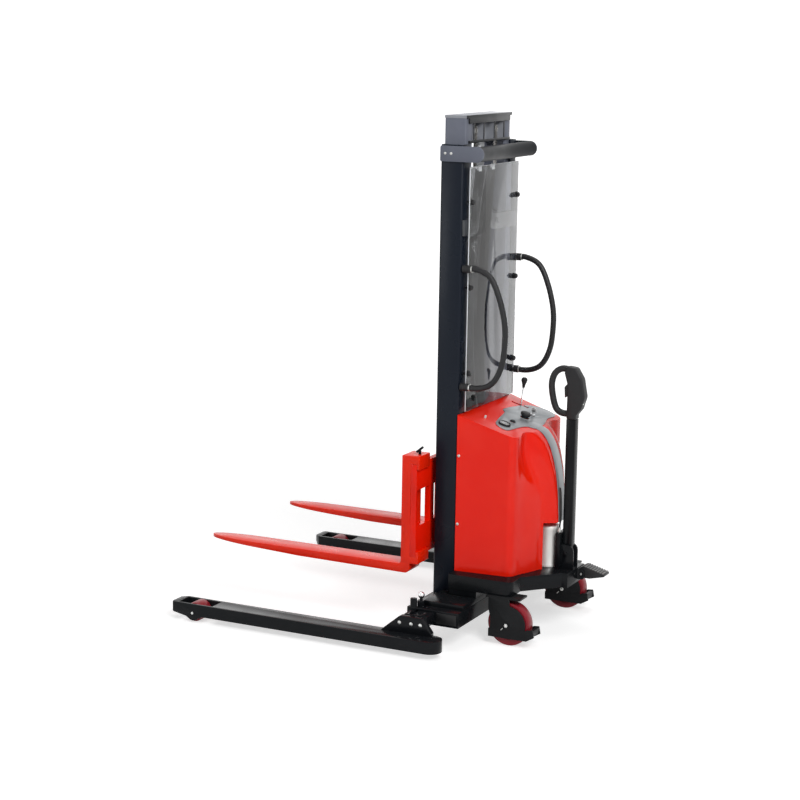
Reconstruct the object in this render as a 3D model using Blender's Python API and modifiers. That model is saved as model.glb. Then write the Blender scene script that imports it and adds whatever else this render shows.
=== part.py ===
"""Semi-electric straddle stacker: fixed frame, two-stage mast, fork carriage,
adjustable straddle legs, rear swivel castors, tiller, cover and controls.

+Y points forward to the fork tips, +X to the machine's right, +Z up, in metres.
The driving dimensions below are measured from the front face of the fixed mast
(y = 0), the middle of the machine (x = 0) and the floor (z = 0)."""

from math import atan2, cos, pi, radians, sin, tan

import bmesh
import bpy
from mathutils import Matrix, Vector

GAP = 0.0003                    # clearance between touching pieces

# mast
MAST_HALF = 0.268               # outer face of the fixed channels
MAST_DEPTH = 0.098
MAST_FOOT = 0.1573
MAST_TOP = 1.9973
INNER_HALF = 0.221              # outer face of the moving channels
INNER_FRONT = 0.007
INNER_REAR = -0.088
INNER_FOOT = 0.300
HEAD_TOP = 2.1105
HEAD_FOOT = 2.000
HEAD_BAND_HALF = 0.2025         # stays between the fixed channels' rear flanges
TIE_BOTTOM = 1.930
TIE_TOP = 1.992
TIE_REAR = -0.1895
CYLINDER_Y = -0.045
ROD_FOOT = 0.420
CHAIN_X = 0.100
PULLEY_Y = -0.040
PULLEY_Z = 2.045
CHAIN_INNER_R = 0.029
CHAIN_THICK = 0.010
CHAIN_FOOT = 0.640
MAST_ROLLER_R = 0.0405
MAST_ROLLER_Z = 0.360
CARRIAGE_ROLLER_R = 0.039
CARRIAGE_ROLLER_Z = (0.415, 0.650)

# carriage and forks
CARRIAGE_HALF = 0.385
BAR_REAR = 0.0253
BAR_FRONT = 0.0517
UPPER_BAR = (0.607, 0.715)
LOWER_BAR = (0.330, 0.457)
FORK_WIDTH = 0.100
FORK_TIP = 1.015
FORK_TOP = 0.295
FORK_THICK = 0.037
SHANK_REAR = 0.0523
SHANK_FRONT = 0.092
SHANK_TOP = 0.749

# straddle legs
LEG_OUTER = 0.672
LEG_WIDTH = 0.100
LEG_BOTTOM = 0.027
LEG_TOP = 0.077
LEG_TIP = 1.021
LEG_REAR = -0.207
ROLLER_SLOT_REAR = 0.823
ROLLER_Y = 0.911
ROLLER_R = 0.040
BAR_Y = (-0.120, -0.020)        # the arm that slides in the cross beam
BAR_Z = (0.104, 0.148)
BAR_INNER_X = 0.300
LOCK_X = 0.470

# chassis
BEAM_HALF = 0.502
BEAM_Y = (-0.224, 0.002)
BEAM_Z = (0.095, 0.157)
PLATE_HALF = 0.453
PLATE_Z = (0.1573, 0.177)
TRAY_HALF = 0.332
TRAY_Z = (0.204, 0.264)
TRAY_REAR = -0.526

# castors
CASTOR_X = 0.304
SWIVEL_Y = -0.346
WHEEL_Y = -0.367
WHEEL_R = 0.090
WHEEL_WIDTH = 0.050
FORK_PLATE_X = (0.0315, 0.038)  # castor side plate, from the wheel's middle

# cover and console
COVER_HALF = 0.274
COVER_FRONT = -0.0995
COVER_REAR = -0.350
COVER_FOOT = 0.2643
COVER_WALL = 0.005
TOP_FRONT_Z = 0.914             # height of the sloping top at its front edge
TOP_SLOPE = 0.307
SPINE_HALF = 0.085
SPINE_FOOT = 0.460

# tiller
TILLER_Y = -0.490
TILLER_PIN_Z = 0.330
SHAFT_TOP = 0.890
PEDAL_X = 0.054
PEDAL_Y = -0.543
PEDAL_Z = 0.240


# ---------------------------------------------------------------- helpers

def clearScene():
    for item in list(bpy.data.objects):
        bpy.data.objects.remove(item)


def newCollection(name):
    made = bpy.data.collections.new(name)
    bpy.context.scene.collection.children.link(made)
    return made


def newMaterial(name, colour, roughness, metallic):
    made = bpy.data.materials.new(name)
    made.use_nodes = True
    shader = made.node_tree.nodes["Principled BSDF"]
    shader.inputs["Base Color"].default_value = (*colour, 1.0)
    shader.inputs["Roughness"].default_value = roughness
    shader.inputs["Metallic"].default_value = metallic
    made.diffuse_color = (*colour, 1.0)
    return made


def empty(name, at, parent=None):
    """An empty on a joint axis; its children move with that joint."""
    made = bpy.data.objects.new(name, None)
    parts.objects.link(made)
    made["at"] = at
    made.parent = parent
    offset = Vector(parent["at"]) if parent else Vector((0, 0, 0))
    made.location = Vector(at) - offset
    return made


def addObject(name, mesh, material=None, parent=None, origin=(0, 0, 0)):
    """Link a mesh drawn in machine coordinates as a part of the stacker."""
    made = bpy.data.objects.new(name, mesh)
    if parent is None:
        guides.objects.link(made)
        made.parent = stacker
        made.hide_render = True
        made.display_type = "WIRE"
        return made
    parts.objects.link(made)
    mesh.materials.append(material)
    made.parent = parent
    mesh.transform(Matrix.Translation(-Vector(origin)))
    made.location = Vector(origin) - Vector(parent["at"])
    return made


def boxMesh(low, high):
    shape = bmesh.new()
    bmesh.ops.create_cube(shape, size=1.0)
    size = Vector(high) - Vector(low)
    middle = (Vector(high) + Vector(low)) / 2
    bmesh.ops.transform(shape, matrix=Matrix.Diagonal((*size, 1.0)), verts=shape.verts)
    bmesh.ops.translate(shape, vec=middle, verts=shape.verts)
    return finish(shape)


def rodMesh(start, end, radius, sides=24, endRadius=None):
    """A cylinder or cone from start to end."""
    shape = bmesh.new()
    line = Vector(end) - Vector(start)
    bmesh.ops.create_cone(shape, cap_ends=True, segments=sides, radius1=radius,
                          radius2=radius if endRadius is None else endRadius,
                          depth=line.length)
    turn = Vector((0, 0, 1)).rotation_difference(line).to_matrix().to_4x4()
    middle = (Vector(start) + Vector(end)) / 2
    bmesh.ops.transform(shape, matrix=Matrix.Translation(middle) @ turn, verts=shape.verts)
    return finish(shape)


def finish(shape):
    mesh = bpy.data.meshes.new("shape")
    shape.to_mesh(mesh)
    shape.free()
    return mesh


def rounded(corners, steps=4):
    """An outline from corners (a, b, radius): each corner becomes an arc."""
    outline = []
    count = len(corners)
    for index, (a, b, radius) in enumerate(corners):
        here = Vector((a, b))
        if radius == 0:
            outline.append(here)
            continue
        back = (Vector(corners[index - 1][:2]) - here).normalized()
        ahead = (Vector(corners[(index + 1) % count][:2]) - here).normalized()
        half = back.angle(ahead) / 2
        reach = radius / tan(half)
        centre = here + (back + ahead).normalized() * radius / sin(half)
        first = here + back * reach - centre
        last = here + ahead * reach - centre
        sweep = atan2(first.x * last.y - first.y * last.x, first.dot(last))
        for step in range(steps + 1):
            angle = sweep * step / steps
            outline.append(centre + Vector((first.x * cos(angle) - first.y * sin(angle),
                                            first.x * sin(angle) + first.y * cos(angle))))
    return outline


def plateMesh(outline, low, high, normal):
    """A flat outline made solid between low and high along its normal axis.

    The outline's pairs are (x, y) for normal Z, (y, z) for X and (x, z) for Y."""
    curve = bpy.data.curves.new("outline", "CURVE")
    curve.dimensions = "2D"
    curve.fill_mode = "BOTH"
    curve.extrude = (high - low) / 2
    line = curve.splines.new("POLY")
    line.points.add(len(outline) - 1)
    for point, (a, b) in zip(line.points, outline):
        point.co = (a, b, 0, 1)
    line.use_cyclic_u = True
    mesh = meshFromCurve(curve)
    middle = (low + high) / 2
    place = {
        "Z": Matrix(((1, 0, 0, 0), (0, 1, 0, 0), (0, 0, 1, middle), (0, 0, 0, 1))),
        "X": Matrix(((0, 0, 1, middle), (1, 0, 0, 0), (0, 1, 0, 0), (0, 0, 0, 1))),
        "Y": Matrix(((1, 0, 0, 0), (0, 0, -1, middle), (0, 1, 0, 0), (0, 0, 0, 1))),
    }[normal]
    mesh.transform(place)
    return mesh


def tubeMesh(points, radius, resolution=2):
    """A round bar swept along points, with filled ends."""
    curve = bpy.data.curves.new("sweep", "CURVE")
    curve.dimensions = "3D"
    curve.bevel_depth = radius
    curve.bevel_resolution = resolution
    curve.use_fill_caps = True
    line = curve.splines.new("POLY")
    line.points.add(len(points) - 1)
    for point, at in zip(line.points, points):
        point.co = (*at, 1)
    return meshFromCurve(curve)


def meshFromCurve(curve):
    holder = bpy.data.objects.new("holder", curve)
    bpy.context.scene.collection.objects.link(holder)
    graph = bpy.context.evaluated_depsgraph_get()
    mesh = bpy.data.meshes.new_from_object(holder.evaluated_get(graph))
    mesh.transform(holder.matrix_world)
    bpy.data.objects.remove(holder)
    shape = bmesh.new()
    shape.from_mesh(mesh)
    bmesh.ops.remove_doubles(shape, verts=shape.verts, dist=0.00001)
    shape.to_mesh(mesh)
    shape.free()
    return mesh


def smoothPath(knots, pieces):
    """Points along a Catmull-Rom curve through the knots."""
    line = [Vector(knot) for knot in knots]
    line = [2 * line[0] - line[1]] + line + [2 * line[-1] - line[-2]]
    path = []
    for k in range(1, len(line) - 2):
        a, b, c, d = line[k - 1:k + 3]
        for step in range(pieces):
            t = step / pieces
            path.append(0.5 * (2 * b + (c - a) * t + (2 * a - 5 * b + 4 * c - d) * t * t
                               + (3 * b - a - 3 * c + d) * t ** 3))
    path.append(line[-2])
    return path


def turned(name, profile, centre, material, parent, sides=32):
    """A solid of revolution about the X axis through centre.

    The profile is a closed ring of (radius, x) pairs round the bore's wall."""
    mesh = bpy.data.meshes.new(name)
    verts = [(radius, 0, -along) for radius, along in profile]
    mesh.from_pydata(verts, [(i, (i + 1) % len(verts)) for i in range(len(verts))], [])
    made = bpy.data.objects.new(name, mesh)
    parts.objects.link(made)
    mesh.materials.append(material)
    made.parent = parent
    made.location = Vector(centre) - Vector(parent["at"])
    made.rotation_euler = (0, -pi / 2, 0)
    screw = made.modifiers.new("turn", "SCREW")
    screw.axis = "Z"
    screw.steps = sides
    screw.render_steps = sides
    screw.use_merge_vertices = True
    screw.merge_threshold = 0.00001
    return made


def combine(target, other, operation):
    cut = target.modifiers.new(operation.lower(), "BOOLEAN")
    cut.operation = operation
    cut.solver = "EXACT"
    cut.object = other


def cut(target, *meshes):
    for mesh in meshes:
        combine(target, guide(target, mesh), "DIFFERENCE")


def join(target, *meshes):
    for mesh in meshes:
        combine(target, guide(target, mesh), "UNION")


def guide(target, mesh):
    """A hidden tool object in the same frame as the target's own mesh."""
    return addObject(target.name + "_tool", mesh)


def softenEdges(target, width, segments=2):
    bevel = target.modifiers.new("edges", "BEVEL")
    bevel.width = width
    bevel.segments = segments
    bevel.limit_method = "ANGLE"
    bevel.angle_limit = radians(40)


def smooth(target, angle=40):
    target.data.shade_smooth()
    target.data.set_sharp_from_angle(angle=radians(angle))


def part(name, mesh, material, parent, origin=None):
    """A part whose origin is its parent empty, so its tools share its frame."""
    return addObject(name, mesh, material, parent, origin or parent["at"])


def mirrored(side, low, high):
    """The X range of a box given for the right side, on either side."""
    ends = sorted((side * low[0], side * high[0]))
    return (ends[0], *low[1:]), (ends[1], *high[1:])


def sideBox(side, low, high):
    return boxMesh(*mirrored(side, low, high))


def flipped(outline, side):
    return [(side * a, b) for a, b in outline]


# ---------------------------------------------------------------- materials

def makeMaterials():
    return {
        "red": newMaterial("red_paint", (0.62, 0.045, 0.012), 0.35, 0.0),
        "black": newMaterial("black_paint", (0.012, 0.013, 0.016), 0.38, 0.0),
        "grey": newMaterial("grey_paint", (0.16, 0.165, 0.19), 0.42, 0.0),
        "tube": newMaterial("dark_grey_paint", (0.055, 0.058, 0.062), 0.45, 0.0),
        "steel": newMaterial("bright_steel", (0.62, 0.62, 0.62), 0.28, 1.0),
        "chain": newMaterial("oiled_steel", (0.16, 0.15, 0.14), 0.45, 1.0),
        "polyurethane": newMaterial("crimson_polyurethane", (0.33, 0.012, 0.03), 0.45, 0.0),
        "clear": newMaterial("clear_acrylic", (0.82, 0.84, 0.86), 0.08, 0.0),
        "silver": newMaterial("silver_plastic", (0.26, 0.28, 0.29), 0.35, 0.2),
        "plastic": newMaterial("black_plastic", (0.02, 0.02, 0.022), 0.5, 0.0),
        "motor": newMaterial("silver_motor_can", (0.60, 0.60, 0.57), 0.4, 0.6),
        "tread": newMaterial("grey_rubber_tread", (0.25, 0.25, 0.25), 0.8, 0.0),
    }


# ---------------------------------------------------------------- chassis

def crossBeam(parent):
    beam = part("cross_beam", boxMesh((-BEAM_HALF, BEAM_Y[0], BEAM_Z[0]),
                                      (BEAM_HALF, BEAM_Y[1], BEAM_Z[1])),
                paint["black"], parent)
    through = BEAM_HALF + 0.01
    cut(beam, boxMesh((-through, BAR_Y[0] - GAP, BAR_Z[0] - GAP),
                      (through, BAR_Y[1] + GAP, BAR_Z[1] + GAP)))
    cut(beam, boxMesh((-through, -0.216, BAR_Z[0] - GAP), (through, -0.128, BAR_Z[1] + GAP)))
    for side in (-1, 1):
        join(beam, rodMesh((side * 0.487, -0.0195, 0.150), (side * 0.487, -0.0195, 0.190), 0.014))
        cut(beam, rodMesh((side * LOCK_X, -0.045, 0.140), (side * LOCK_X, -0.045, 0.170), 0.0068, 16))
    smooth(beam)
    return beam


def chassisPlate(parent):
    notch = MAST_HALF + GAP * 2
    front = -0.047
    outline = [(0, -0.0985), (notch, -0.0985), (notch, front), (PLATE_HALF, front),
               (PLATE_HALF, -0.2235), (0, -0.2235)]
    outline += [(-x, y) for x, y in reversed(outline) if x > 0]
    part("chassis_plate", plateMesh(outline, *PLATE_Z, "Z"), paint["black"], parent)


def trayOutline(inset):
    half = TRAY_HALF - inset
    rear = TRAY_REAR + inset
    right = [(half, -0.0995 - inset, 0), (half, -0.380 + inset, 0.025),
             (0.232 - inset * 0.4, -0.377 + inset, 0), (0.092 - inset, -0.500 + inset * 0.5, 0),
             (0.092 - inset, rear, 0)]
    left = [(-a, b, r) for a, b, r in reversed(right)]
    return rounded(right + left, 3)


def chassisTray(parent):
    tray = part("chassis_tray", plateMesh(trayOutline(0), *TRAY_Z, "Z"), paint["black"], parent)
    cut(tray, plateMesh(trayOutline(0.006), TRAY_Z[0] - 0.01, TRAY_Z[1] - 0.008, "Z"))
    riser = addObject("riser", boxMesh((-0.329, -0.2235, PLATE_Z[1] + GAP), (0.329, -0.1005, 0.259)))
    hollow = addObject("riser_hollow", boxMesh((-0.320, -0.2175, 0.150), (0.320, -0.1065, 0.300)))
    combine(riser, hollow, "DIFFERENCE")
    combine(tray, riser, "UNION")
    for side in (-1, 1):
        middle = PEDAL_X + side * 0.0345
        ear = [(-0.5235, 0.216, 0), (-0.556, 0.216, 0.010), (-0.556, 0.262, 0.014), (-0.5235, 0.262, 0)]
        join(tray, plateMesh(rounded(ear, 3), middle - 0.003, middle + 0.003, "X"))
        cut(tray, rodMesh((middle - 0.005, PEDAL_Y, PEDAL_Z), (middle + 0.005, PEDAL_Y, PEDAL_Z), 0.0055, 16))
        join(tray, rodMesh((side * CASTOR_X, SWIVEL_Y, 0.2065), (side * CASTOR_X, SWIVEL_Y, 0.260), 0.0265, 24))
        cut(tray, rodMesh((side * CASTOR_X, SWIVEL_Y, 0.200), (side * CASTOR_X, SWIVEL_Y, 0.2485), 0.0205, 24))
    smooth(tray)


# ---------------------------------------------------------------- mast

def channelOutline(side):
    corners = [(MAST_HALF, 0, 0.009), (0.224, 0, 0), (0.224, -0.008, 0), (0.260, -0.008, 0),
               (0.260, -0.0905, 0), (0.203, -0.0905, 0), (0.203, -MAST_DEPTH, 0),
               (MAST_HALF, -MAST_DEPTH, 0.009)]
    return flipped(rounded(corners, 3), side)


def innerOutline(side):
    corners = [(INNER_HALF, INNER_FRONT, 0.008), (0.165, INNER_FRONT, 0), (0.165, -0.001, 0),
               (0.213, -0.001, 0), (0.213, -0.080, 0), (0.165, -0.080, 0),
               (0.165, INNER_REAR, 0), (INNER_HALF, INNER_REAR, 0.008)]
    return flipped(rounded(corners, 3), side)


def fixedMast(parent):
    for side, word in SIDES:
        channel = part("mast_outer_" + word, plateMesh(channelOutline(side), MAST_FOOT, MAST_TOP, "Z"),
                       paint["black"], parent)
        smooth(channel)
    low = MAST_HALF + GAP
    plate = [(0.0, TIE_BOTTOM, 0.006), (0.0, TIE_TOP, 0.006), (TIE_REAR, TIE_TOP, 0.0309),
             (TIE_REAR, TIE_BOTTOM, 0.0309)]
    outline = rounded(plate, 5)
    tie = part("mast_tie", plateMesh(outline, low, low + 0.006, "X"), paint["grey"], parent)
    join(tie, plateMesh(outline, -low - 0.006, -low, "X"))
    middle = (TIE_BOTTOM + TIE_TOP) / 2
    join(tie, rodMesh((-low - 0.003, TIE_REAR + 0.031, middle), (low + 0.003, TIE_REAR + 0.031, middle),
                      0.0300, 28))
    smooth(tie)
    rear = -MAST_DEPTH - GAP
    upper = part("mast_cross_upper", boxMesh((-0.262, rear - 0.008, 1.637), (0.262, rear, 1.700)),
                 paint["tube"], parent)
    for side in (-1, 1):
        join(upper, boxMesh((side * CHAIN_X - 0.014, rear - 0.004, 1.660),
                            (side * CHAIN_X + 0.014, -0.0797, 1.6995)))


def liftCylinder(parent):
    foot = PLATE_Z[0]
    tube = part("lift_cylinder", rodMesh((0, CYLINDER_Y, foot), (0, CYLINDER_Y, 1.860), 0.030, 28),
                paint["black"], parent)
    cut(tube, rodMesh((0, CYLINDER_Y, foot + 0.022), (0, CYLINDER_Y, 1.900), 0.0228, 28))
    smooth(tube)


def innerMast(parent):
    for side, word in SIDES:
        channel = part("inner_mast_" + word,
                       plateMesh(innerOutline(side), INNER_FOOT, HEAD_TOP - 0.0123, "Z"),
                       paint["grey"], parent)
        smooth(channel)
        join(channel, rodMesh((side * 0.217, PULLEY_Y - 0.009, MAST_ROLLER_Z),
                              (side * 0.226, PULLEY_Y - 0.009, MAST_ROLLER_Z), 0.0125, 16))
        centre = (side * 0.2425, PULLEY_Y - 0.009, MAST_ROLLER_Z)
        spin = empty("mast_roller_axis_" + word, centre, parent)
        roller("mast_roller_" + word, centre, MAST_ROLLER_R, 0.030, spin, paint["chain"])
    innerHead(parent)
    part("inner_cross_lower", boxMesh((-0.190, INNER_REAR - GAP - 0.006, 0.320),
                                      (0.190, INNER_REAR - GAP, 0.380)), paint["black"], parent)
    rod = part("piston_rod", rodMesh((0, CYLINDER_Y, ROD_FOOT), (0, CYLINDER_Y, HEAD_TOP - 0.0123), 0.0222, 28),
               paint["steel"], parent)
    smooth(rod)


def innerHead(parent):
    """The cross head: top plate, front and rear bands and the pulley ribs."""
    rear = INNER_REAR - GAP
    under = HEAD_TOP - 0.012
    head = part("inner_head", boxMesh((-INNER_HALF, rear - 0.007, under), (INNER_HALF, INNER_FRONT, HEAD_TOP)),
                paint["black"], parent)
    inside = 0.165 - GAP
    for low, high in ((2.078, under + 0.004), (HEAD_FOOT, 2.010)):
        join(head, boxMesh((-HEAD_BAND_HALF, rear - 0.007, low), (HEAD_BAND_HALF, rear, high)))
    for x in (-0.150, -0.052, 0.052, 0.150):
        join(head, boxMesh((x - 0.004, rear - 0.003, HEAD_FOOT + 0.002), (x + 0.004, 0.004, under + 0.004)))
    join(head, boxMesh((-inside, -0.0005 - GAP, 2.078), (inside, INNER_FRONT - 0.001, under + 0.004)))
    for side in (-1, 1):
        join(head, rodMesh((side * 0.050, PULLEY_Y, PULLEY_Z), (side * 0.152, PULLEY_Y, PULLEY_Z), 0.0105, 20))
    smooth(head)


def chains(parent):
    """Each chain runs from its anchor over the pulley and down to the carriage."""
    outer = CHAIN_INNER_R + CHAIN_THICK
    for side, word in SIDES:
        outline = [(PULLEY_Y + outer, CHAIN_FOOT), (PULLEY_Y + outer, PULLEY_Z)]
        for step in range(1, 16):
            angle = pi * step / 16
            outline.append((PULLEY_Y + outer * cos(angle), PULLEY_Z + outer * sin(angle)))
        outline += [(PULLEY_Y - outer, PULLEY_Z), (PULLEY_Y - outer, 1.7005),
                    (PULLEY_Y - CHAIN_INNER_R, 1.7005), (PULLEY_Y - CHAIN_INNER_R, PULLEY_Z)]
        for step in range(1, 16):
            angle = pi - pi * step / 16
            outline.append((PULLEY_Y + CHAIN_INNER_R * cos(angle), PULLEY_Z + CHAIN_INNER_R * sin(angle)))
        outline += [(PULLEY_Y + CHAIN_INNER_R, PULLEY_Z), (PULLEY_Y + CHAIN_INNER_R, CHAIN_FOOT)]
        middle = side * CHAIN_X
        part("lift_chain_" + word, plateMesh(outline, middle - 0.009, middle + 0.009, "X"),
             paint["chain"], parent)
        centre = (middle, PULLEY_Y, PULLEY_Z)
        spin = empty("pulley_axis_" + word, centre, parent)
        groove = CHAIN_INNER_R - GAP
        rim = 0.0375
        profile = [(0.0108, -0.015), (rim, -0.015), (rim, -0.0095), (groove, -0.0095),
                   (groove, 0.0095), (rim, 0.0095), (rim, 0.015), (0.0108, 0.015)]
        smooth(turned("chain_pulley_" + word, profile, centre, paint["steel"], spin, 24))


def roller(name, centre, radius, width, parent, material, bore=0.0128, sides=24):
    half = width / 2
    edge = 0.002
    profile = [(bore, -half), (radius - edge, -half), (radius, -half + edge), (radius, half - edge),
               (radius - edge, half), (bore, half)]
    made = turned(name, profile, centre, material, parent, sides)
    smooth(made)
    return made


# ---------------------------------------------------------------- carriage

def carriageFrame(parent):
    full = CARRIAGE_HALF
    frame = part("carriage_frame", boxMesh((-full, BAR_REAR, UPPER_BAR[0]), (full, BAR_FRONT, UPPER_BAR[1])),
                 paint["red"], parent)
    join(frame, boxMesh((-full, BAR_REAR, LOWER_BAR[0]), (full, BAR_FRONT, LOWER_BAR[1])))
    for side, word in SIDES:
        join(frame, sideBox(side, (full - 0.012, BAR_REAR + 0.001, LOWER_BAR[1] - 0.01),
                            (full - 0.0002, BAR_FRONT - 0.001, UPPER_BAR[0] + 0.01)))
        join(frame, sideBox(side, (0.217, BAR_REAR + 0.001, LOWER_BAR[1] - 0.01),
                            (0.252, BAR_FRONT - 0.001, UPPER_BAR[0] + 0.01)))
        cheek = [(BAR_FRONT - 0.002, 0.376, 0), (BAR_FRONT - 0.002, 0.690, 0), (-0.062, 0.690, 0.020),
                 (-0.062, 0.376, 0.020)]
        join(frame, plateMesh(rounded(cheek, 3), *sorted((side * 0.148, side * 0.160)), "X"))
        join(frame, sideBox(side, (CHAIN_X - 0.012, 0.0005, 0.640), (CHAIN_X + 0.012, BAR_REAR + 0.004, 0.690)))
        for level in CARRIAGE_ROLLER_Z:
            axle = PULLEY_Y - 0.0005
            join(frame, rodMesh((side * 0.156, axle, level), (side * 0.205, axle, level), 0.0125, 16))
    smooth(frame)
    for side, word in SIDES:
        for level, row in zip(CARRIAGE_ROLLER_Z, ("lower", "upper")):
            centre = (side * 0.198, PULLEY_Y - 0.0005, level)
            spin = empty("carriage_roller_axis_" + row + "_" + word, centre, parent)
            roller("carriage_roller_" + row + "_" + word, centre, CARRIAGE_ROLLER_R, 0.026, spin,
                   paint["chain"])


def forkProfile():
    """The fork seen from the side: blade, heel, shank and the two hooks."""
    bottom = FORK_TOP - FORK_THICK
    lip = BAR_REAR - GAP
    hookRear = 0.014
    corners = [
        (FORK_TIP, FORK_TOP, 0), (SHANK_FRONT, FORK_TOP, 0.014), (SHANK_FRONT, SHANK_TOP, 0.004),
        (hookRear, SHANK_TOP, 0.004), (hookRear, UPPER_BAR[1] - 0.022, 0), (lip, UPPER_BAR[1] - 0.022, 0),
        (lip, UPPER_BAR[1] + GAP, 0), (SHANK_REAR, UPPER_BAR[1] + GAP, 0),
        (SHANK_REAR, LOWER_BAR[0] - GAP, 0), (lip, LOWER_BAR[0] - GAP, 0), (lip, LOWER_BAR[0] + 0.020, 0),
        (hookRear, LOWER_BAR[0] + 0.020, 0), (hookRear, 0.300, 0.004), (SHANK_REAR, 0.300, 0),
        (SHANK_REAR, bottom, 0.022), (0.575, FORK_TOP - 0.031, 0), (FORK_TIP, FORK_TOP - 0.012, 0),
    ]
    return rounded(corners, 4)


def bladePlan(centre):
    """The fork from above: parallel sides, then a long rounded tip."""
    half = FORK_WIDTH / 2
    taper = 0.230
    outline = [(centre + half, -0.05), (centre + half, FORK_TIP - taper)]
    for step in range(1, 12):
        angle = pi * step / 12
        outline.append((centre + half * cos(angle), FORK_TIP - taper + taper * sin(angle)))
    outline += [(centre - half, FORK_TIP - taper), (centre - half, -0.05)]
    return outline


def forks(carriage):
    for side, word in SIDES:
        middle = side * (CARRIAGE_HALF - FORK_WIDTH / 2)
        slide = empty("fork_slide_" + word, (middle, SHANK_REAR, UPPER_BAR[1]), carriage)
        fork = part("fork_" + word, plateMesh(forkProfile(), middle - 0.051, middle + 0.051, "X"),
                    paint["red"], slide)
        combine(fork, guide(fork, plateMesh(bladePlan(middle), 0.2, 0.8, "Z")), "INTERSECT")
        cut(fork, rodMesh((middle, 0.037, SHANK_TOP - 0.012), (middle, 0.037, SHANK_TOP + 0.01), 0.0063, 16))
        smooth(fork)
        pin = empty("fork_pin_axis_" + word, (middle, 0.037, SHANK_TOP), slide)
        stem = rodMesh((middle, 0.037, SHANK_TOP - 0.0115), (middle, 0.037, 0.766), 0.006, 16)
        latch = part("fork_pin_" + word, stem, paint["black"], pin)
        join(latch, rodMesh((middle - 0.026, 0.037, 0.764), (middle + 0.026, 0.037, 0.772), 0.005, 12))
        smooth(latch)


# ---------------------------------------------------------------- straddle legs

def legProfile():
    """The leg from the side; the tip's underside rises and bulges round the axle."""
    corners = [(LEG_REAR, LEG_BOTTOM, 0), (0.870, LEG_BOTTOM, 0), (0.880, 0.018, 0)]
    outline = rounded(corners + [(0.886, LEG_TOP, 0), (LEG_REAR, LEG_TOP, 0)])[:3]
    for step in range(7):
        angle = pi * (1.16 + 0.48 * step / 6)
        outline.append(Vector((ROLLER_Y + 0.031 * cos(angle), 0.038 + 0.031 * sin(angle))))
    outline += [Vector((0.945, 0.023)), Vector((1.006, 0.034)), Vector((LEG_TIP, 0.050)),
                Vector((LEG_TIP, 0.070)), Vector((LEG_TIP - 0.006, LEG_TOP)), Vector((LEG_REAR, LEG_TOP))]
    return outline


def legPlan(inner, outer):
    """The leg from above: a round rear end and a tip with cut corners."""
    side = 1 if outer > 0 else -1
    width = LEG_WIDTH
    corners = [(0, LEG_REAR, width / 2 - 0.001), (width, LEG_REAR, width / 2 - 0.001),
               (width, LEG_TIP - 0.012, 0.004), (width - 0.028, LEG_TIP, 0.006), (0.028, LEG_TIP, 0.010),
               (0, LEG_TIP - 0.030, 0.010)]
    return [(side * (abs(inner) + a), b) for a, b in rounded(corners, 5)]


def legs(root):
    inner = LEG_OUTER - LEG_WIDTH
    for side, word in SIDES:
        slide = empty("leg_slide_axis_" + word, (side * BEAM_HALF, -0.070, 0.126), root)
        low, high = sorted((side * (inner - 0.001), side * (LEG_OUTER + 0.001)))
        leg = part("leg_" + word, plateMesh(legProfile(), low, high, "X"), paint["black"], slide)
        plan = plateMesh(legPlan(side * inner, side * LEG_OUTER), -0.05, 0.15, "Z")
        combine(leg, guide(leg, plan), "INTERSECT")
        cut(leg, sideBox(side, (inner + 0.006, -0.140, -0.01), (LEG_OUTER - 0.006, ROLLER_SLOT_REAR - 0.010,
                                                                LEG_TOP - 0.006)))
        cut(leg, sideBox(side, (inner + 0.012, ROLLER_SLOT_REAR, -0.01), (LEG_OUTER - 0.012, 0.985, 0.2)))
        join(leg, rodMesh((side * (inner + 0.003), ROLLER_Y, ROLLER_R),
                          (side * (LEG_OUTER + 0.004), ROLLER_Y, ROLLER_R), 0.009, 16))
        smooth(leg)
        legSlide(side, word, slide)
        centre = (side * (LEG_OUTER - LEG_WIDTH / 2), ROLLER_Y, ROLLER_R)
        spin = empty("load_roller_axis_" + word, centre, slide)
        roller("load_roller_" + word, centre, ROLLER_R, 0.070, spin, paint["polyurethane"], 0.0095, 30)


def legSlide(side, word, parent):
    """The upright bolted to the leg with the arm that slides in the cross beam."""
    inner = LEG_OUTER - LEG_WIDTH
    upright = [(0.070, LEG_TOP + GAP, 0), (-0.012, 0.146, 0.018), (-0.106, 0.146, 0.012),
               (-0.150, 0.090, 0.006), (-0.150, LEG_TOP + GAP, 0)]
    low, high = sorted((side * inner, side * (inner + 0.028)))
    slider = part("leg_slide_" + word, plateMesh(rounded(upright, 3), low, high, "X"), paint["black"], parent)
    join(slider, sideBox(side, (BAR_INNER_X, BAR_Y[0], BAR_Z[0]), (inner + 0.004, BAR_Y[1], BAR_Z[1] - 0.004)))
    join(slider, sideBox(side, (BAR_INNER_X, BAR_Y[0], BAR_Z[1] - 0.006), (inner - 0.0003, BAR_Y[1], BAR_Z[1])))
    cut(slider, sideBox(side, (0.351, -0.0525, 0.134), (0.564, -0.0375, 0.160)))
    smooth(slider)


def legLocks(root):
    """Ball-headed pins whose tips run in the arms' slots and stop them."""
    for side, word in SIDES:
        x = side * LOCK_X
        y = -0.045
        axis = empty("leg_lock_axis_" + word, (x, y, BEAM_Z[1]), root)
        lock = part("leg_lock_" + word, rodMesh((x, y, 0.137), (x, y, 0.200), 0.006, 16), paint["steel"], axis)
        join(lock, rodMesh((x, y, BEAM_Z[1] + GAP), (x, y, 0.182), 0.015, 20))
        ball = bmesh.new()
        bmesh.ops.create_uvsphere(ball, u_segments=12, v_segments=8, radius=0.014)
        bmesh.ops.translate(ball, vec=(x, y, 0.203), verts=ball.verts)
        join(lock, finish(ball))
        smooth(lock)


# ---------------------------------------------------------------- castors

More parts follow.
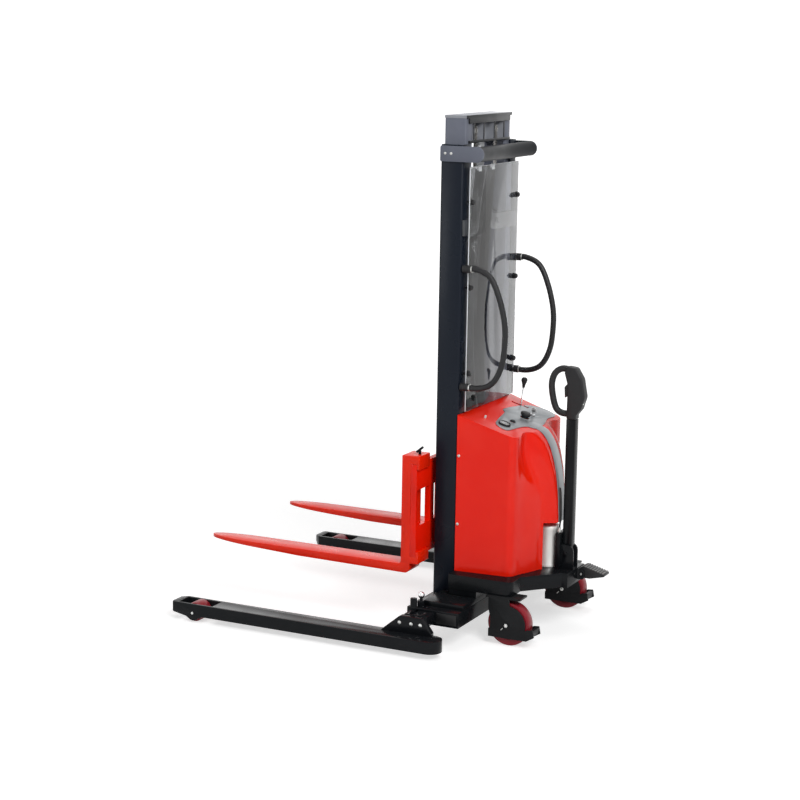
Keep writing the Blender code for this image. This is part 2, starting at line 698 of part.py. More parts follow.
def castorPlate():
    """The castor's side plate: wide at the foot to guard the wheel, cut back above."""
    outline = [(-0.284, 0.200), (-0.284, 0.150), (-0.294, 0.112), (-0.294, 0.070), (-0.2855, 0.066),
               (-0.2855, 0.033), (-0.452, 0.033), (-0.4845, 0.052), (-0.4785, 0.082), (-0.455, 0.080)]
    for step in range(9):
        angle = radians(-12 + 95 * step / 8)
        outline.append((WHEEL_Y - 0.079 * cos(angle), WHEEL_R + 0.079 * sin(angle)))
    outline += [(-0.372, 0.200)]
    return outline


def castors(root):
    for side, word in SIDES:
        x = side * CASTOR_X
        swivel = empty("swivel_axis_" + word, (x, SWIVEL_Y, 0.2035), root)
        near, far = FORK_PLATE_X
        fork = part("castor_fork_" + word, boxMesh((x - far, -0.422, 0.1955), (x + far, -0.272, 0.2035)),
                    paint["black"], swivel)
        for hand in (-1, 1):
            join(fork, plateMesh(castorPlate(), *sorted((x + hand * near, x + hand * far)), "X"))
        join(fork, boxMesh((x - near - 0.002, -0.4800, 0.056), (x + near + 0.002, -0.4660, 0.078)))
        join(fork, rodMesh((x, SWIVEL_Y, 0.200), (x, SWIVEL_Y, 0.248), 0.020, 24))
        join(fork, rodMesh((x - far - 0.006, WHEEL_Y, WHEEL_R), (x + far + 0.006, WHEEL_Y, WHEEL_R), 0.010, 16))
        smooth(fork)
        centre = (x, WHEEL_Y, WHEEL_R)
        spin = empty("castor_wheel_axis_" + word, centre, swivel)
        half = WHEEL_WIDTH / 2
        profile = [(0.0105, -half), (0.027, -half), (0.027, -0.014), (0.064, -0.014), (0.064, -half),
                   (WHEEL_R - 0.004, -half), (WHEEL_R, -half + 0.005), (WHEEL_R, half - 0.005),
                   (WHEEL_R - 0.004, half), (0.064, half), (0.064, 0.014), (0.027, 0.014), (0.027, half),
                   (0.0105, half)]
        smooth(turned("castor_wheel_" + word, profile, centre, paint["polyurethane"], spin, 32))


# ---------------------------------------------------------------- cover

def topHeight(y, drop=0.0):
    return TOP_FRONT_Z + TOP_SLOPE * (y - COVER_FRONT) - drop


def coverPlan(inset):
    half = COVER_HALF - inset
    rear = COVER_REAR + inset
    front = COVER_FRONT + (0.05 if inset else 0)
    right = [(half, front, 0), (half - 0.016, rear, 0.030 - inset), (0.100, rear - 0.002, 0)]
    left = [(-a, b, r) for a, b, r in reversed(right)]
    return rounded(right + left, 5)


def spineRear():
    """The spine's outer line from the sloping top down to its foot."""
    return [Vector((-0.200, topHeight(-0.200))), Vector((-0.352, topHeight(-0.352))), Vector((-0.372, 0.824)),
            Vector((-0.395, 0.795)), Vector((-0.415, 0.752)), Vector((-0.436, 0.672)), Vector((-0.449, 0.572)),
            Vector((-0.455, SPINE_FOOT))]


def offsetLine(line, distance):
    """The line moved sideways, outwards for a positive distance."""
    moved = []
    for index, point in enumerate(line):
        before = (point - line[index - 1]).normalized() if index else None
        after = (line[index + 1] - point).normalized() if index < len(line) - 1 else before
        before = before or after
        across = (before + after).normalized()
        moved.append(point + Vector((across.y, -across.x)) * distance / across.dot(after))
    return moved


def spineProfile(inset):
    """The rear spine from the side, thinner all round by the inset."""
    floor = SPINE_FOOT - (0.05 if inset else 0)
    rear = offsetLine(spineRear(), -inset)
    return [Vector((-0.200, floor))] + rear + ([Vector((rear[-1].x, floor))] if inset else [])


def cover(parent):
    shell = part("cover", plateMesh(coverPlan(0), COVER_FOOT, 0.960, "Z"), paint["red"], parent)
    slab = [(-0.60, topHeight(-0.60)), (0.0, topHeight(0.0)), (0.0, 1.2), (-0.60, 1.2)]
    cut(shell, plateMesh(slab, -0.4, 0.4, "X"))
    spine = plateMesh(spineProfile(0), -SPINE_HALF, SPINE_HALF, "X")
    join(shell, spine)
    softenEdges(shell, 0.012, 2)
    inner = addObject("cover_inner", plateMesh(coverPlan(COVER_WALL), COVER_FOOT - 0.05, 0.960, "Z"))
    slabInner = [(-0.60, topHeight(-0.60, 0.006)), (0.0, topHeight(0.0, 0.006)), (0.0, 1.2), (-0.60, 1.2)]
    combine(inner, addObject("cover_inner_slab", plateMesh(slabInner, -0.4, 0.4, "X")), "DIFFERENCE")
    combine(shell, inner, "DIFFERENCE")
    half = SPINE_HALF - 0.010
    cut(shell, plateMesh(spineProfile(0.010), -half, half, "X"))
    consoleHoles(shell)
    smooth(shell)


def onTop(x, y, rise=0.0):
    """A point above the sloping top, measured square to it."""
    lean = Vector((0, -TOP_SLOPE, 1)).normalized()
    return Vector((x, y, topHeight(y))) + lean * rise


CONTROLS = {"button": (-0.076, -0.257, 0.0125), "stop": (0.040, -0.262, 0.019), "key": (0.108, -0.268, 0.011)}
LEVER_X = 0.180
LEVER_SLOT = (-0.222, -0.142)
TRIM_RISE = 0.0035


def consoleHoles(target):
    for x, y, radius in CONTROLS.values():
        cut(target, rodMesh(onTop(x, y, -0.020), onTop(x, y, 0.020), radius + 0.0006, 20))
    low, high = LEVER_SLOT
    cut(target, boxMesh((LEVER_X - 0.007, low, 0.84), (LEVER_X + 0.007, high, 0.94)))


def consoleTrim(parent):
    """The silver panel: a plate on the sloping top that runs down the spine."""
    lift = 0.0004
    line = spineRear()
    line[0] = Vector((-0.166, topHeight(-0.166)))
    line[-1] = line[-1] + Vector((0, 0.003))
    strip = offsetLine(line, lift) + list(reversed(offsetLine(line, lift + TRIM_RISE)))
    trim = part("console_trim", plateMesh(strip, -0.052, 0.052, "X"), paint["silver"], parent)
    pad = [(-0.180, topHeight(-0.180) + lift), (-0.300, topHeight(-0.300) + lift),
           (-0.300, topHeight(-0.300) + lift + TRIM_RISE), (-0.180, topHeight(-0.180) + lift + TRIM_RISE)]
    join(trim, plateMesh(pad, -0.186, 0.240, "X"))
    consoleHoles(trim)
    smooth(trim)


def controls(root):
    x, y = -0.152, -0.253
    gauge = part("battery_gauge", rodMesh(onTop(x, y, TRIM_RISE + 0.0006), onTop(x, y, 0.012), 0.026, 28),
                 paint["plastic"], root)
    smooth(gauge)
    for name, label, top, material, cap in (("button", "push_button", 0.011, "plastic", None),
                                            ("stop", "stop_button", 0.012, "plastic", 0.021),
                                            ("key", "key_switch", 0.010, "steel", None)):
        x, y, radius = CONTROLS[name]
        axis = empty(label + "_axis", tuple(onTop(x, y)), root)
        foot = onTop(x, y, -0.014)
        stem = part(label, rodMesh(foot, onTop(x, y, top), radius, 20), paint[material], axis)
        if cap:
            join(stem, rodMesh(onTop(x, y, top - 0.002), onTop(x, y, top + 0.014), cap, 24, cap * 0.8))
        if name == "key":
            slot = boxMesh((x - 0.0015, y - 0.010, 0), (x + 0.0015, y + 0.010, 0.026))
            slot.transform(Matrix.Translation((0, -0.0025, onTop(x, y, top - 0.003).z)))
            join(stem, slot)
        smooth(stem)
    pivot = (LEVER_X, -0.180, 0.842)
    axis = empty("lift_lever_axis", pivot, root)
    lever = part("lift_lever", rodMesh((LEVER_X, -0.180, 0.842), (LEVER_X, -0.196, 0.968), 0.0032, 12),
                 paint["steel"], axis)
    join(lever, rodMesh((LEVER_X, -0.1945, 0.960), (LEVER_X, -0.200, 1.004), 0.006, 20, 0.0135))
    join(lever, rodMesh((LEVER_X - 0.014, -0.180, 0.842), (LEVER_X + 0.014, -0.180, 0.842), 0.006, 16))
    smooth(lever)


# ---------------------------------------------------------------- power pack

def powerPack(root):
    floor = COVER_FOOT
    part("battery", boxMesh((-0.245, -0.305, floor), (-0.030, -0.125, 0.470)), paint["plastic"], root)
    tank = part("hydraulic_tank", boxMesh((0.030, -0.300, floor), (0.235, -0.130, 0.480)), paint["black"], root)
    join(tank, rodMesh((0.130, -0.215, 0.470), (0.130, -0.215, 0.515), 0.035, 20))
    smooth(tank)
    can = rodMesh((0, -0.4065, floor), (0, -0.4065, 0.440), 0.040, 32)
    motor = part("pump_motor", can, paint["motor"], root)
    smooth(motor)


# ---------------------------------------------------------------- guard, handles

def guardScreen(root):
    pane = boxMesh((-0.2435, -0.121, 0.925), (0.2435, -0.117, 1.9085))
    screen = part("guard_screen", pane, paint["clear"], root)
    for side in (-1, 1):
        for z in (1.078, 1.428, 1.770):
            join(screen, rodMesh((side * 0.229, -0.119, z), (side * 0.229, -MAST_DEPTH - GAP, z), 0.0070, 10))
            join(screen, rodMesh((side * 0.229, -0.119, z), (side * 0.229, -0.134, z), 0.0095, 10))
    smooth(screen)


def grabHandles(root):
    start = -MAST_DEPTH - GAP
    for side, word in SIDES:
        x = side * 0.2565
        bow = ((start - 0.003, 1.506), (-0.160, 1.507), (-0.222, 1.478), (-0.262, 1.400), (-0.288, 1.300),
               (-0.291, 1.215), (-0.279, 1.125), (-0.243, 1.056), (-0.185, 1.028), (start - 0.003, 1.027))
        knots = [(x, y, z) for y, z in bow]
        handle = part("grab_handle_" + word, tubeMesh(smoothPath(knots, 3), 0.0120, 2), paint["plastic"], root)
        for z in (1.506, 1.027):
            join(handle, rodMesh((x, start, z), (x, start - 0.012, z), 0.0155, 20))
        smooth(handle)


# ---------------------------------------------------------------- tiller, pedal

def tillerParts(root):
    floor = COVER_FOOT
    base = part("tiller_base", boxMesh((-0.045, -0.4685, floor), (0.045, -0.4490, 0.415)), paint["black"], root)
    for side in (-1, 1):
        foot = floor + 0.0002
        ear = [(-0.460, foot, 0), (-0.460, 0.366, 0), (-0.522, 0.366, 0.028), (-0.522, foot, 0)]
        join(base, plateMesh(rounded(ear, 4), *sorted((side * 0.0195, side * 0.0275)), "X"))
    join(base, boxMesh((-0.0270, -0.520, floor + 0.0001), (0.0270, -0.465, floor + 0.008)))
    join(base, rodMesh((-0.034, TILLER_Y, TILLER_PIN_Z), (0.034, TILLER_Y, TILLER_PIN_Z), 0.0075, 20))
    smooth(base)
    tilt = empty("tiller_axis", (0, TILLER_Y, TILLER_PIN_Z), root)
    side = [(TILLER_Y - 0.020, TILLER_PIN_Z - 0.020, 0.0199), (TILLER_Y - 0.020, SHAFT_TOP, 0),
            (TILLER_Y + 0.020, SHAFT_TOP, 0), (TILLER_Y + 0.020, TILLER_PIN_Z - 0.020, 0.0199)]
    shaft = part("tiller", plateMesh(rounded(side, 5), -0.0185, 0.0185, "X"), paint["black"], tilt)
    cut(shaft, rodMesh((-0.05, TILLER_Y, TILLER_PIN_Z), (0.05, TILLER_Y, TILLER_PIN_Z), 0.0080, 20))
    smooth(shaft)
    body = [(-0.4695, SHAFT_TOP + GAP, 0), (-0.4710, 1.030, 0), (-0.4560, 1.080, 0.02), (-0.4620, 1.108, 0.01),
            (-0.5050, 1.104, 0.02), (-0.5330, 1.060, 0.02), (-0.5470, 0.985, 0.02), (-0.5320, 0.935, 0),
            (-0.5110, 0.908, 0), (-0.5110, SHAFT_TOP + GAP, 0)]
    head = part("tiller_head", plateMesh(rounded(body, 3), -0.022, 0.022, "X"), paint["plastic"], tilt)
    loop = [(0, -0.486, 0.9110), (0, -0.445, 0.9115), (0, -0.418, 0.928), (0, -0.402, 0.975),
            (0, -0.3955, 1.030), (0, -0.408, 1.072), (0, -0.437, 1.094), (0, -0.475, 1.094)]
    join(head, tubeMesh(smoothPath(loop, 3), 0.0135, 2))
    smooth(head)
    run = [(-0.032, -0.4580, 0.606), (-0.032, -0.4614, 0.585), (-0.032, -0.4642, 0.540),
           (-0.032, -0.4648, 0.480), (-0.032, -0.4612, 0.445), (-0.032, -0.4590, 0.4155)]
    cable = part("control_cable", tubeMesh(smoothPath(run, 4), 0.0040, 2), paint["plastic"], root)
    smooth(cable)


def brakePedal(root):
    axis = empty("pedal_axis", (PEDAL_X, PEDAL_Y, PEDAL_Z), root)
    side = [(-0.5290, 0.232, 0), (-0.5290, 0.262, 0.004), (-0.548, 0.272, 0.004), (-0.642, 0.246, 0),
            (-0.640, 0.237, 0), (-0.578, 0.222, 0.01), (-0.545, 0.222, 0)]
    plate = plateMesh(rounded(side, 3), PEDAL_X - 0.031, PEDAL_X + 0.031, "X")
    pedal = part("brake_pedal", plate, paint["tread"], axis)
    reach = 0.0385
    join(pedal, rodMesh((PEDAL_X - reach, PEDAL_Y, PEDAL_Z), (PEDAL_X + reach, PEDAL_Y, PEDAL_Z), 0.0050, 16))
    smooth(pedal)


# ---------------------------------------------------------------- build

SIDES = ((-1, "left"), (1, "right"))

clearScene()
parts = newCollection("straddle_stacker")
guides = newCollection("cutters")
paint = makeMaterials()

PEDAL_TIP = -0.642
middleY = (LEG_TIP + PEDAL_TIP) / 2
stacker = empty("stacker", (0, 0, 0))
stacker.location = (0, -middleY, 0)

crossBeam(stacker)
chassisPlate(stacker)
chassisTray(stacker)
fixedMast(stacker)
liftCylinder(stacker)
cover(stacker)
consoleTrim(stacker)
controls(stacker)
powerPack(stacker)
guardScreen(stacker)
grabHandles(stacker)
tillerParts(stacker)
brakePedal(stacker)
legs(stacker)
legLocks(stacker)
castors(stacker)

lift = empty("mast_lift_axis", (0, 0, INNER_FOOT), stacker)
innerMast(lift)
chains(lift)
ride = empty("carriage_lift_axis", (0, BAR_REAR, LOWER_BAR[0]), lift)
carriageFrame(ride)
forks(ride)
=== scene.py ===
from math import atan, atan2, cos, pi, radians, sin, tan

import bpy
from mathutils import Matrix, Vector


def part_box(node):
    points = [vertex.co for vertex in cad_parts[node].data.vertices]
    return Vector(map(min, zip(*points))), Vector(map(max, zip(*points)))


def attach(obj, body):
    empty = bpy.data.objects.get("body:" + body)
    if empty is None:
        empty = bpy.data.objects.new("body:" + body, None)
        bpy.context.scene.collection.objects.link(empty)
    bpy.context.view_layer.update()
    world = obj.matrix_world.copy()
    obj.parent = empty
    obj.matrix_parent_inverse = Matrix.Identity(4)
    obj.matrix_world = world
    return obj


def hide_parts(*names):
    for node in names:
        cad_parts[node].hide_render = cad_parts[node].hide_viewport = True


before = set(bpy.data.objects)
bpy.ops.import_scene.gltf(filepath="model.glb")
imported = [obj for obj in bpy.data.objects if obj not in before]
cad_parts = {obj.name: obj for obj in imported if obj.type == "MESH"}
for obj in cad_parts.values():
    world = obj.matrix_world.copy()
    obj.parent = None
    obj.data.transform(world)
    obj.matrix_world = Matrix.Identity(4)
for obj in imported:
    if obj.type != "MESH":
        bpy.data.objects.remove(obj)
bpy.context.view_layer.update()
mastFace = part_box("mast_outer_left")[1][1]    # every place below is measured from this face
print("frame loaded, mast face at", round(mastFace, 4))


def only(*pieces):    # these selected, the first one active
    bpy.ops.object.select_all(action="DESELECT")
    for piece in pieces:
        piece.select_set(True)
    bpy.context.view_layer.objects.active = pieces[0]


def settle(piece, name=None):    # place, turn and size go into the mesh
    if name:
        piece.name = name
        piece.data.name = name
    only(piece)
    bpy.ops.object.transform_apply(location=True, rotation=True, scale=True)
    return piece


def soften(piece, width, segments=2, angle=30):
    only(piece)
    bevel = piece.modifiers.new("soften", "BEVEL")
    bevel.width = width
    bevel.segments = segments
    bevel.limit_method = "ANGLE"
    bevel.angle_limit = radians(angle)
    bpy.ops.object.modifier_apply(modifier=bevel.name)
    return piece


def thicken(piece, depth, offset=-1.0):
    only(piece)
    wall = piece.modifiers.new("wall", "SOLIDIFY")
    wall.thickness = depth
    wall.offset = offset
    wall.use_even_offset = True
    bpy.ops.object.modifier_apply(modifier=wall.name)
    return piece


def cutWith(piece, cutter, operation="DIFFERENCE"):
    only(piece)
    cut = piece.modifiers.new("cut", "BOOLEAN")
    cut.object = cutter
    cut.operation = operation
    bpy.ops.object.modifier_apply(modifier=cut.name)
    bpy.data.objects.remove(cutter)
    return piece


def facesOut(piece):
    only(piece)
    bpy.ops.object.mode_set(mode="EDIT")
    bpy.ops.mesh.select_all(action="SELECT")
    bpy.ops.mesh.remove_doubles(threshold=0.00001)
    bpy.ops.mesh.normals_make_consistent(inside=False)
    bpy.ops.object.mode_set(mode="OBJECT")
    return piece


def joinAll(pieces, name):
    only(*pieces)
    if len(pieces) > 1:
        bpy.ops.object.join()
    return settle(bpy.context.object, name)


def copyOf(piece, name, shift=(0, 0, 0), turn=(0, 0, 0)):
    only(piece)
    bpy.ops.object.duplicate()
    twin = bpy.context.object
    twin.location = shift
    twin.rotation_euler = turn
    return settle(twin, name)


def mirrorOf(piece, name):
    only(piece)
    bpy.ops.object.duplicate()
    twin = bpy.context.object
    twin.scale = (-1, 1, 1)
    settle(twin, name)
    return facesOut(twin)


# moves a piece from the mast face's frame to the world, paints it and hangs it on its body
def fit(piece, body, finish, stands=(), smoothAngle=32):
    piece.location = (0, mastFace, 0)
    settle(piece)
    piece.data.materials.clear()
    piece.data.materials.append(finishes[finish])
    only(piece)
    bpy.ops.object.shade_smooth_by_angle(angle=radians(smoothAngle))
    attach(piece, body)
    if stands:
        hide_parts(*stands)
    return piece


def block(name, low, high, edge=0.0, segments=2):
    middle = (Vector(low) + Vector(high)) / 2
    size = Vector(high) - Vector(low)
    bpy.ops.mesh.primitive_cube_add(size=1, location=middle, scale=size)
    piece = settle(bpy.context.object, name)
    return soften(piece, edge, segments) if edge else piece


def aim(direction):    # the turn that points +Z along a direction
    return Vector((0, 0, 1)).rotation_difference(Vector(direction)).to_euler()


def rod(name, start, end, radius, sides=32, edge=0.0):
    line = Vector(end) - Vector(start)
    bpy.ops.mesh.primitive_cone_add(vertices=sides, radius1=radius, radius2=radius, depth=line.length,
                                    location=(Vector(start) + Vector(end)) / 2, rotation=aim(line))
    piece = settle(bpy.context.object, name)
    return soften(piece, edge, 2) if edge else piece


def drawLine(name, points, closed=True):    # one vertex, pulled along the points
    bpy.ops.mesh.primitive_plane_add(size=0.01, location=(0, 0, 0))
    piece = settle(bpy.context.object, name)
    bpy.ops.object.mode_set(mode="EDIT")
    bpy.ops.mesh.select_all(action="SELECT")
    bpy.ops.mesh.merge(type="CENTER")
    bpy.ops.transform.translate(value=points[0])
    here = Vector(points[0])
    for point in list(points[1:]) + ([points[0]] if closed else []):
        bpy.ops.mesh.extrude_region_move(TRANSFORM_OT_translate={"value": Vector(point) - here})
        here = Vector(point)
    bpy.ops.mesh.select_all(action="SELECT")
    bpy.ops.mesh.remove_doubles(threshold=0.000002)
    return piece


def plate(name, points, push, edge=0.0, segments=2):    # a closed outline, filled and pushed out
    piece = drawLine(name, points)
    bpy.ops.mesh.edge_face_add()
    bpy.ops.mesh.extrude_region_move(TRANSFORM_OT_translate={"value": push})
    bpy.ops.object.mode_set(mode="OBJECT")
    facesOut(piece)
    return soften(piece, edge, segments) if edge else piece


def turned(name, profile, centre, axis="X", steps=48, closed=True):    # (radius, along) pairs spun round
    spin = {"X": (1, 0, 0), "Y": (0, 1, 0), "Z": (0, 0, 1)}[axis]
    side = {"X": (0, 0, 1), "Y": (0, 0, 1), "Z": (1, 0, 0)}[axis]
    points = [Vector(side) * radius + Vector(spin) * along for radius, along in profile]
    piece = drawLine(name, points, closed)
    bpy.ops.mesh.select_all(action="SELECT")
    bpy.ops.mesh.spin(steps=steps, angle=2 * pi, center=(0, 0, 0), axis=spin)
    bpy.ops.object.mode_set(mode="OBJECT")
    facesOut(piece)
    piece.location = centre
    return settle(piece)


def tube(name, points, radius, resolution=3):
    curve = bpy.data.curves.new(name, "CURVE")
    curve.dimensions = "3D"
    curve.bevel_depth = radius
    curve.bevel_resolution = resolution
    curve.use_fill_caps = True
    line = curve.splines.new("POLY")
    line.points.add(len(points) - 1)
    for spot, at in zip(line.points, points):
        spot.co = (*at, 1)
    piece = bpy.data.objects.new(name, curve)
    bpy.context.scene.collection.objects.link(piece)
    only(piece)
    bpy.ops.object.convert(target="MESH")
    return facesOut(settle(bpy.context.object, name))


def curvePoint(knots, t):    # between the second and third of four knots
    a, b, c, d = knots
    return 0.5 * (2 * b + (c - a) * t + (2 * a - 5 * b + 4 * c - d) * t * t + (3 * b - a - 3 * c + d) * t ** 3)


def smoothPath(knots, pieces):    # a smooth line through all the knots
    line = [Vector(knot) for knot in knots]
    line = [2 * line[0] - line[1]] + line + [2 * line[-1] - line[-2]]
    path = [curvePoint(line[k - 1:k + 3], step / pieces) for k in range(1, len(line) - 2) for step in range(pieces)]
    return path + [line[-2]]


def roundCorners(corners, steps=6):    # (a, b, radius) corners to an outline of (a, b)
    outline = []
    for index, (a, b, radius) in enumerate(corners):
        here = Vector((a, b))
        if not radius:
            outline.append(here)
            continue
        back = (Vector(corners[index - 1][:2]) - here).normalized()
        ahead = (Vector(corners[(index + 1) % len(corners)][:2]) - here).normalized()
        half = back.angle(ahead) / 2
        centre = here + (back + ahead).normalized() * radius / sin(half)
        first = here + back * radius / tan(half) - centre
        last = here + ahead * radius / tan(half) - centre
        sweep = atan2(first.x * last.y - first.y * last.x, first.dot(last))
        for step in range(steps + 1):
            angle = sweep * step / steps
            outline.append(centre + Vector((first.x * cos(angle) - first.y * sin(angle),
                                            first.x * sin(angle) + first.y * cos(angle))))
    return outline


# effects that several finishes share
def newGroup(name, inputs, outputs):
    group = bpy.data.node_groups.new(name, "ShaderNodeTree")
    for label, value in inputs.items():
        socket = group.interface.new_socket(name=label, in_out="INPUT", socket_type="NodeSocketFloat")
        socket.default_value = value
    for label in outputs:
        group.interface.new_socket(name=label, in_out="OUTPUT", socket_type="NodeSocketFloat")
    return group, group.nodes.new("NodeGroupInput"), group.nodes.new("NodeGroupOutput")


def node(tree, kind, **settings):
    made = tree.nodes.new(kind)
    for key, value in settings.items():
        if key in made.inputs:
            made.inputs[key].default_value = value
        else:
            setattr(made, key, value)
    return made


def noiseAt(tree, scale, detail=2.0, stretch=None):    # noise on the object's own coordinates
    where = node(tree, "ShaderNodeTexCoord")
    noise = node(tree, "ShaderNodeTexNoise", Detail=detail, Roughness=0.55)
    source = where.outputs["Object"]
    if stretch:
        mapping = node(tree, "ShaderNodeMapping")
        mapping.inputs["Scale"].default_value = stretch
        tree.links.new(source, mapping.inputs["Vector"])
        source = mapping.outputs["Vector"]
    tree.links.new(source, noise.inputs["Vector"])
    if isinstance(scale, (int, float)):
        noise.inputs["Scale"].default_value = scale
    else:
        tree.links.new(scale, noise.inputs["Scale"])
    return noise


def ramp(tree, source, low, high, start=0.0, end=1.0):
    made = node(tree, "ShaderNodeMapRange", interpolation_type="SMOOTHSTEP")
    made.inputs["From Min"].default_value = low
    made.inputs["From Max"].default_value = high
    made.inputs["To Min"].default_value = start
    made.inputs["To Max"].default_value = end
    tree.links.new(source, made.inputs["Value"])
    return made


def calc(tree, operation, a, b):
    made = node(tree, "ShaderNodeMath", operation=operation, use_clamp=operation == "MULTIPLY")
    for socket, value in zip(made.inputs, (a, b)):
        if isinstance(value, (int, float)):
            socket.default_value = value
        else:
            tree.links.new(value, socket)
    return made.outputs[0]


def makeEdgeWearAndHighlight():    # a mask where a bent normal leaves the flat one, broken up by noise: rubbed paint and painted highlight along edges
    group, entry, leave = newGroup("edgeWearAndHighlight", {"Width": 0.002, "Amount": 0.5, "Breakup": 60.0}, ["Mask"])
    bend = node(group, "ShaderNodeBevel", samples=4)
    group.links.new(entry.outputs["Width"], bend.inputs["Radius"])
    flat = node(group, "ShaderNodeNewGeometry")
    compare = node(group, "ShaderNodeVectorMath", operation="DOT_PRODUCT")
    group.links.new(bend.outputs["Normal"], compare.inputs[0])
    group.links.new(flat.outputs["Normal"], compare.inputs[1])
    edge = ramp(group, compare.outputs["Value"], 0.97, 0.80)
    noise = noiseAt(group, entry.outputs["Breakup"], 4.0)
    broken = ramp(group, noise.outputs["Fac"], 0.44, 0.64)
    rubbedAndLit = calc(group, "MULTIPLY", edge.outputs["Result"], broken.outputs["Result"])
    group.links.new(calc(group, "MULTIPLY", rubbedAndLit, entry.outputs["Amount"]), leave.inputs["Mask"])
    return group


def makeSkin():    # orange peel in paint, grain in plastic: a fine height and a slow variation
    group, entry, leave = newGroup("surfaceSkin", {"Fine": 700.0, "Slow": 5.0}, ["Height", "Variation"])
    fine = noiseAt(group, entry.outputs["Fine"], 1.5)
    slow = noiseAt(group, entry.outputs["Slow"], 3.0)
    group.links.new(fine.outputs["Fac"], leave.inputs["Height"])
    group.links.new(ramp(group, slow.outputs["Fac"], 0.3, 0.7).outputs["Result"], leave.inputs["Variation"])
    return group


def makeBrushed():    # drawn metal: noise stretched along one way
    group, entry, leave = newGroup("drawnMetal", {"Fine": 90.0}, ["Height", "Variation"])
    lines = noiseAt(group, entry.outputs["Fine"], 3.0, (1.0, 1.0, 0.06))
    slow = noiseAt(group, 9.0, 2.0)
    group.links.new(lines.outputs["Fac"], leave.inputs["Height"])
    group.links.new(ramp(group, slow.outputs["Fac"], 0.35, 0.65).outputs["Result"], leave.inputs["Variation"])
    return group


def makeDust():    # dust that lies on what faces up, most of it near the floor
    group, entry, leave = newGroup("settledDust", {"Amount": 0.3, "Height": 0.35}, ["Mask"])
    where = node(group, "ShaderNodeTexCoord")
    split = node(group, "ShaderNodeSeparateXYZ")
    group.links.new(where.outputs["Object"], split.inputs[0])
    low = calc(group, "SUBTRACT", 1.0, calc(group, "DIVIDE", split.outputs["Z"], entry.outputs["Height"]))
    near = node(group, "ShaderNodeClamp")
    group.links.new(low, near.inputs["Value"])
    facing = node(group, "ShaderNodeSeparateXYZ")
    group.links.new(where.outputs["Normal"], facing.inputs[0])
    up = ramp(group, facing.outputs["Z"], 0.2, 0.9, 0.25, 1.0)
    noise = noiseAt(group, 14.0, 5.0)
    patches = ramp(group, noise.outputs["Fac"], 0.35, 0.7)
    both = calc(group, "MULTIPLY", up.outputs["Result"], patches.outputs["Result"])
    lying = calc(group, "MULTIPLY", near.outputs["Result"], both)
    group.links.new(calc(group, "MULTIPLY", lying, entry.outputs["Amount"]), leave.inputs["Mask"])
    return group


effects = {"wearAndHighlight": makeEdgeWearAndHighlight(), "skin": makeSkin(), "drawn": makeBrushed(), "dust": makeDust()}

dustColour = (0.34, 0.32, 0.29)
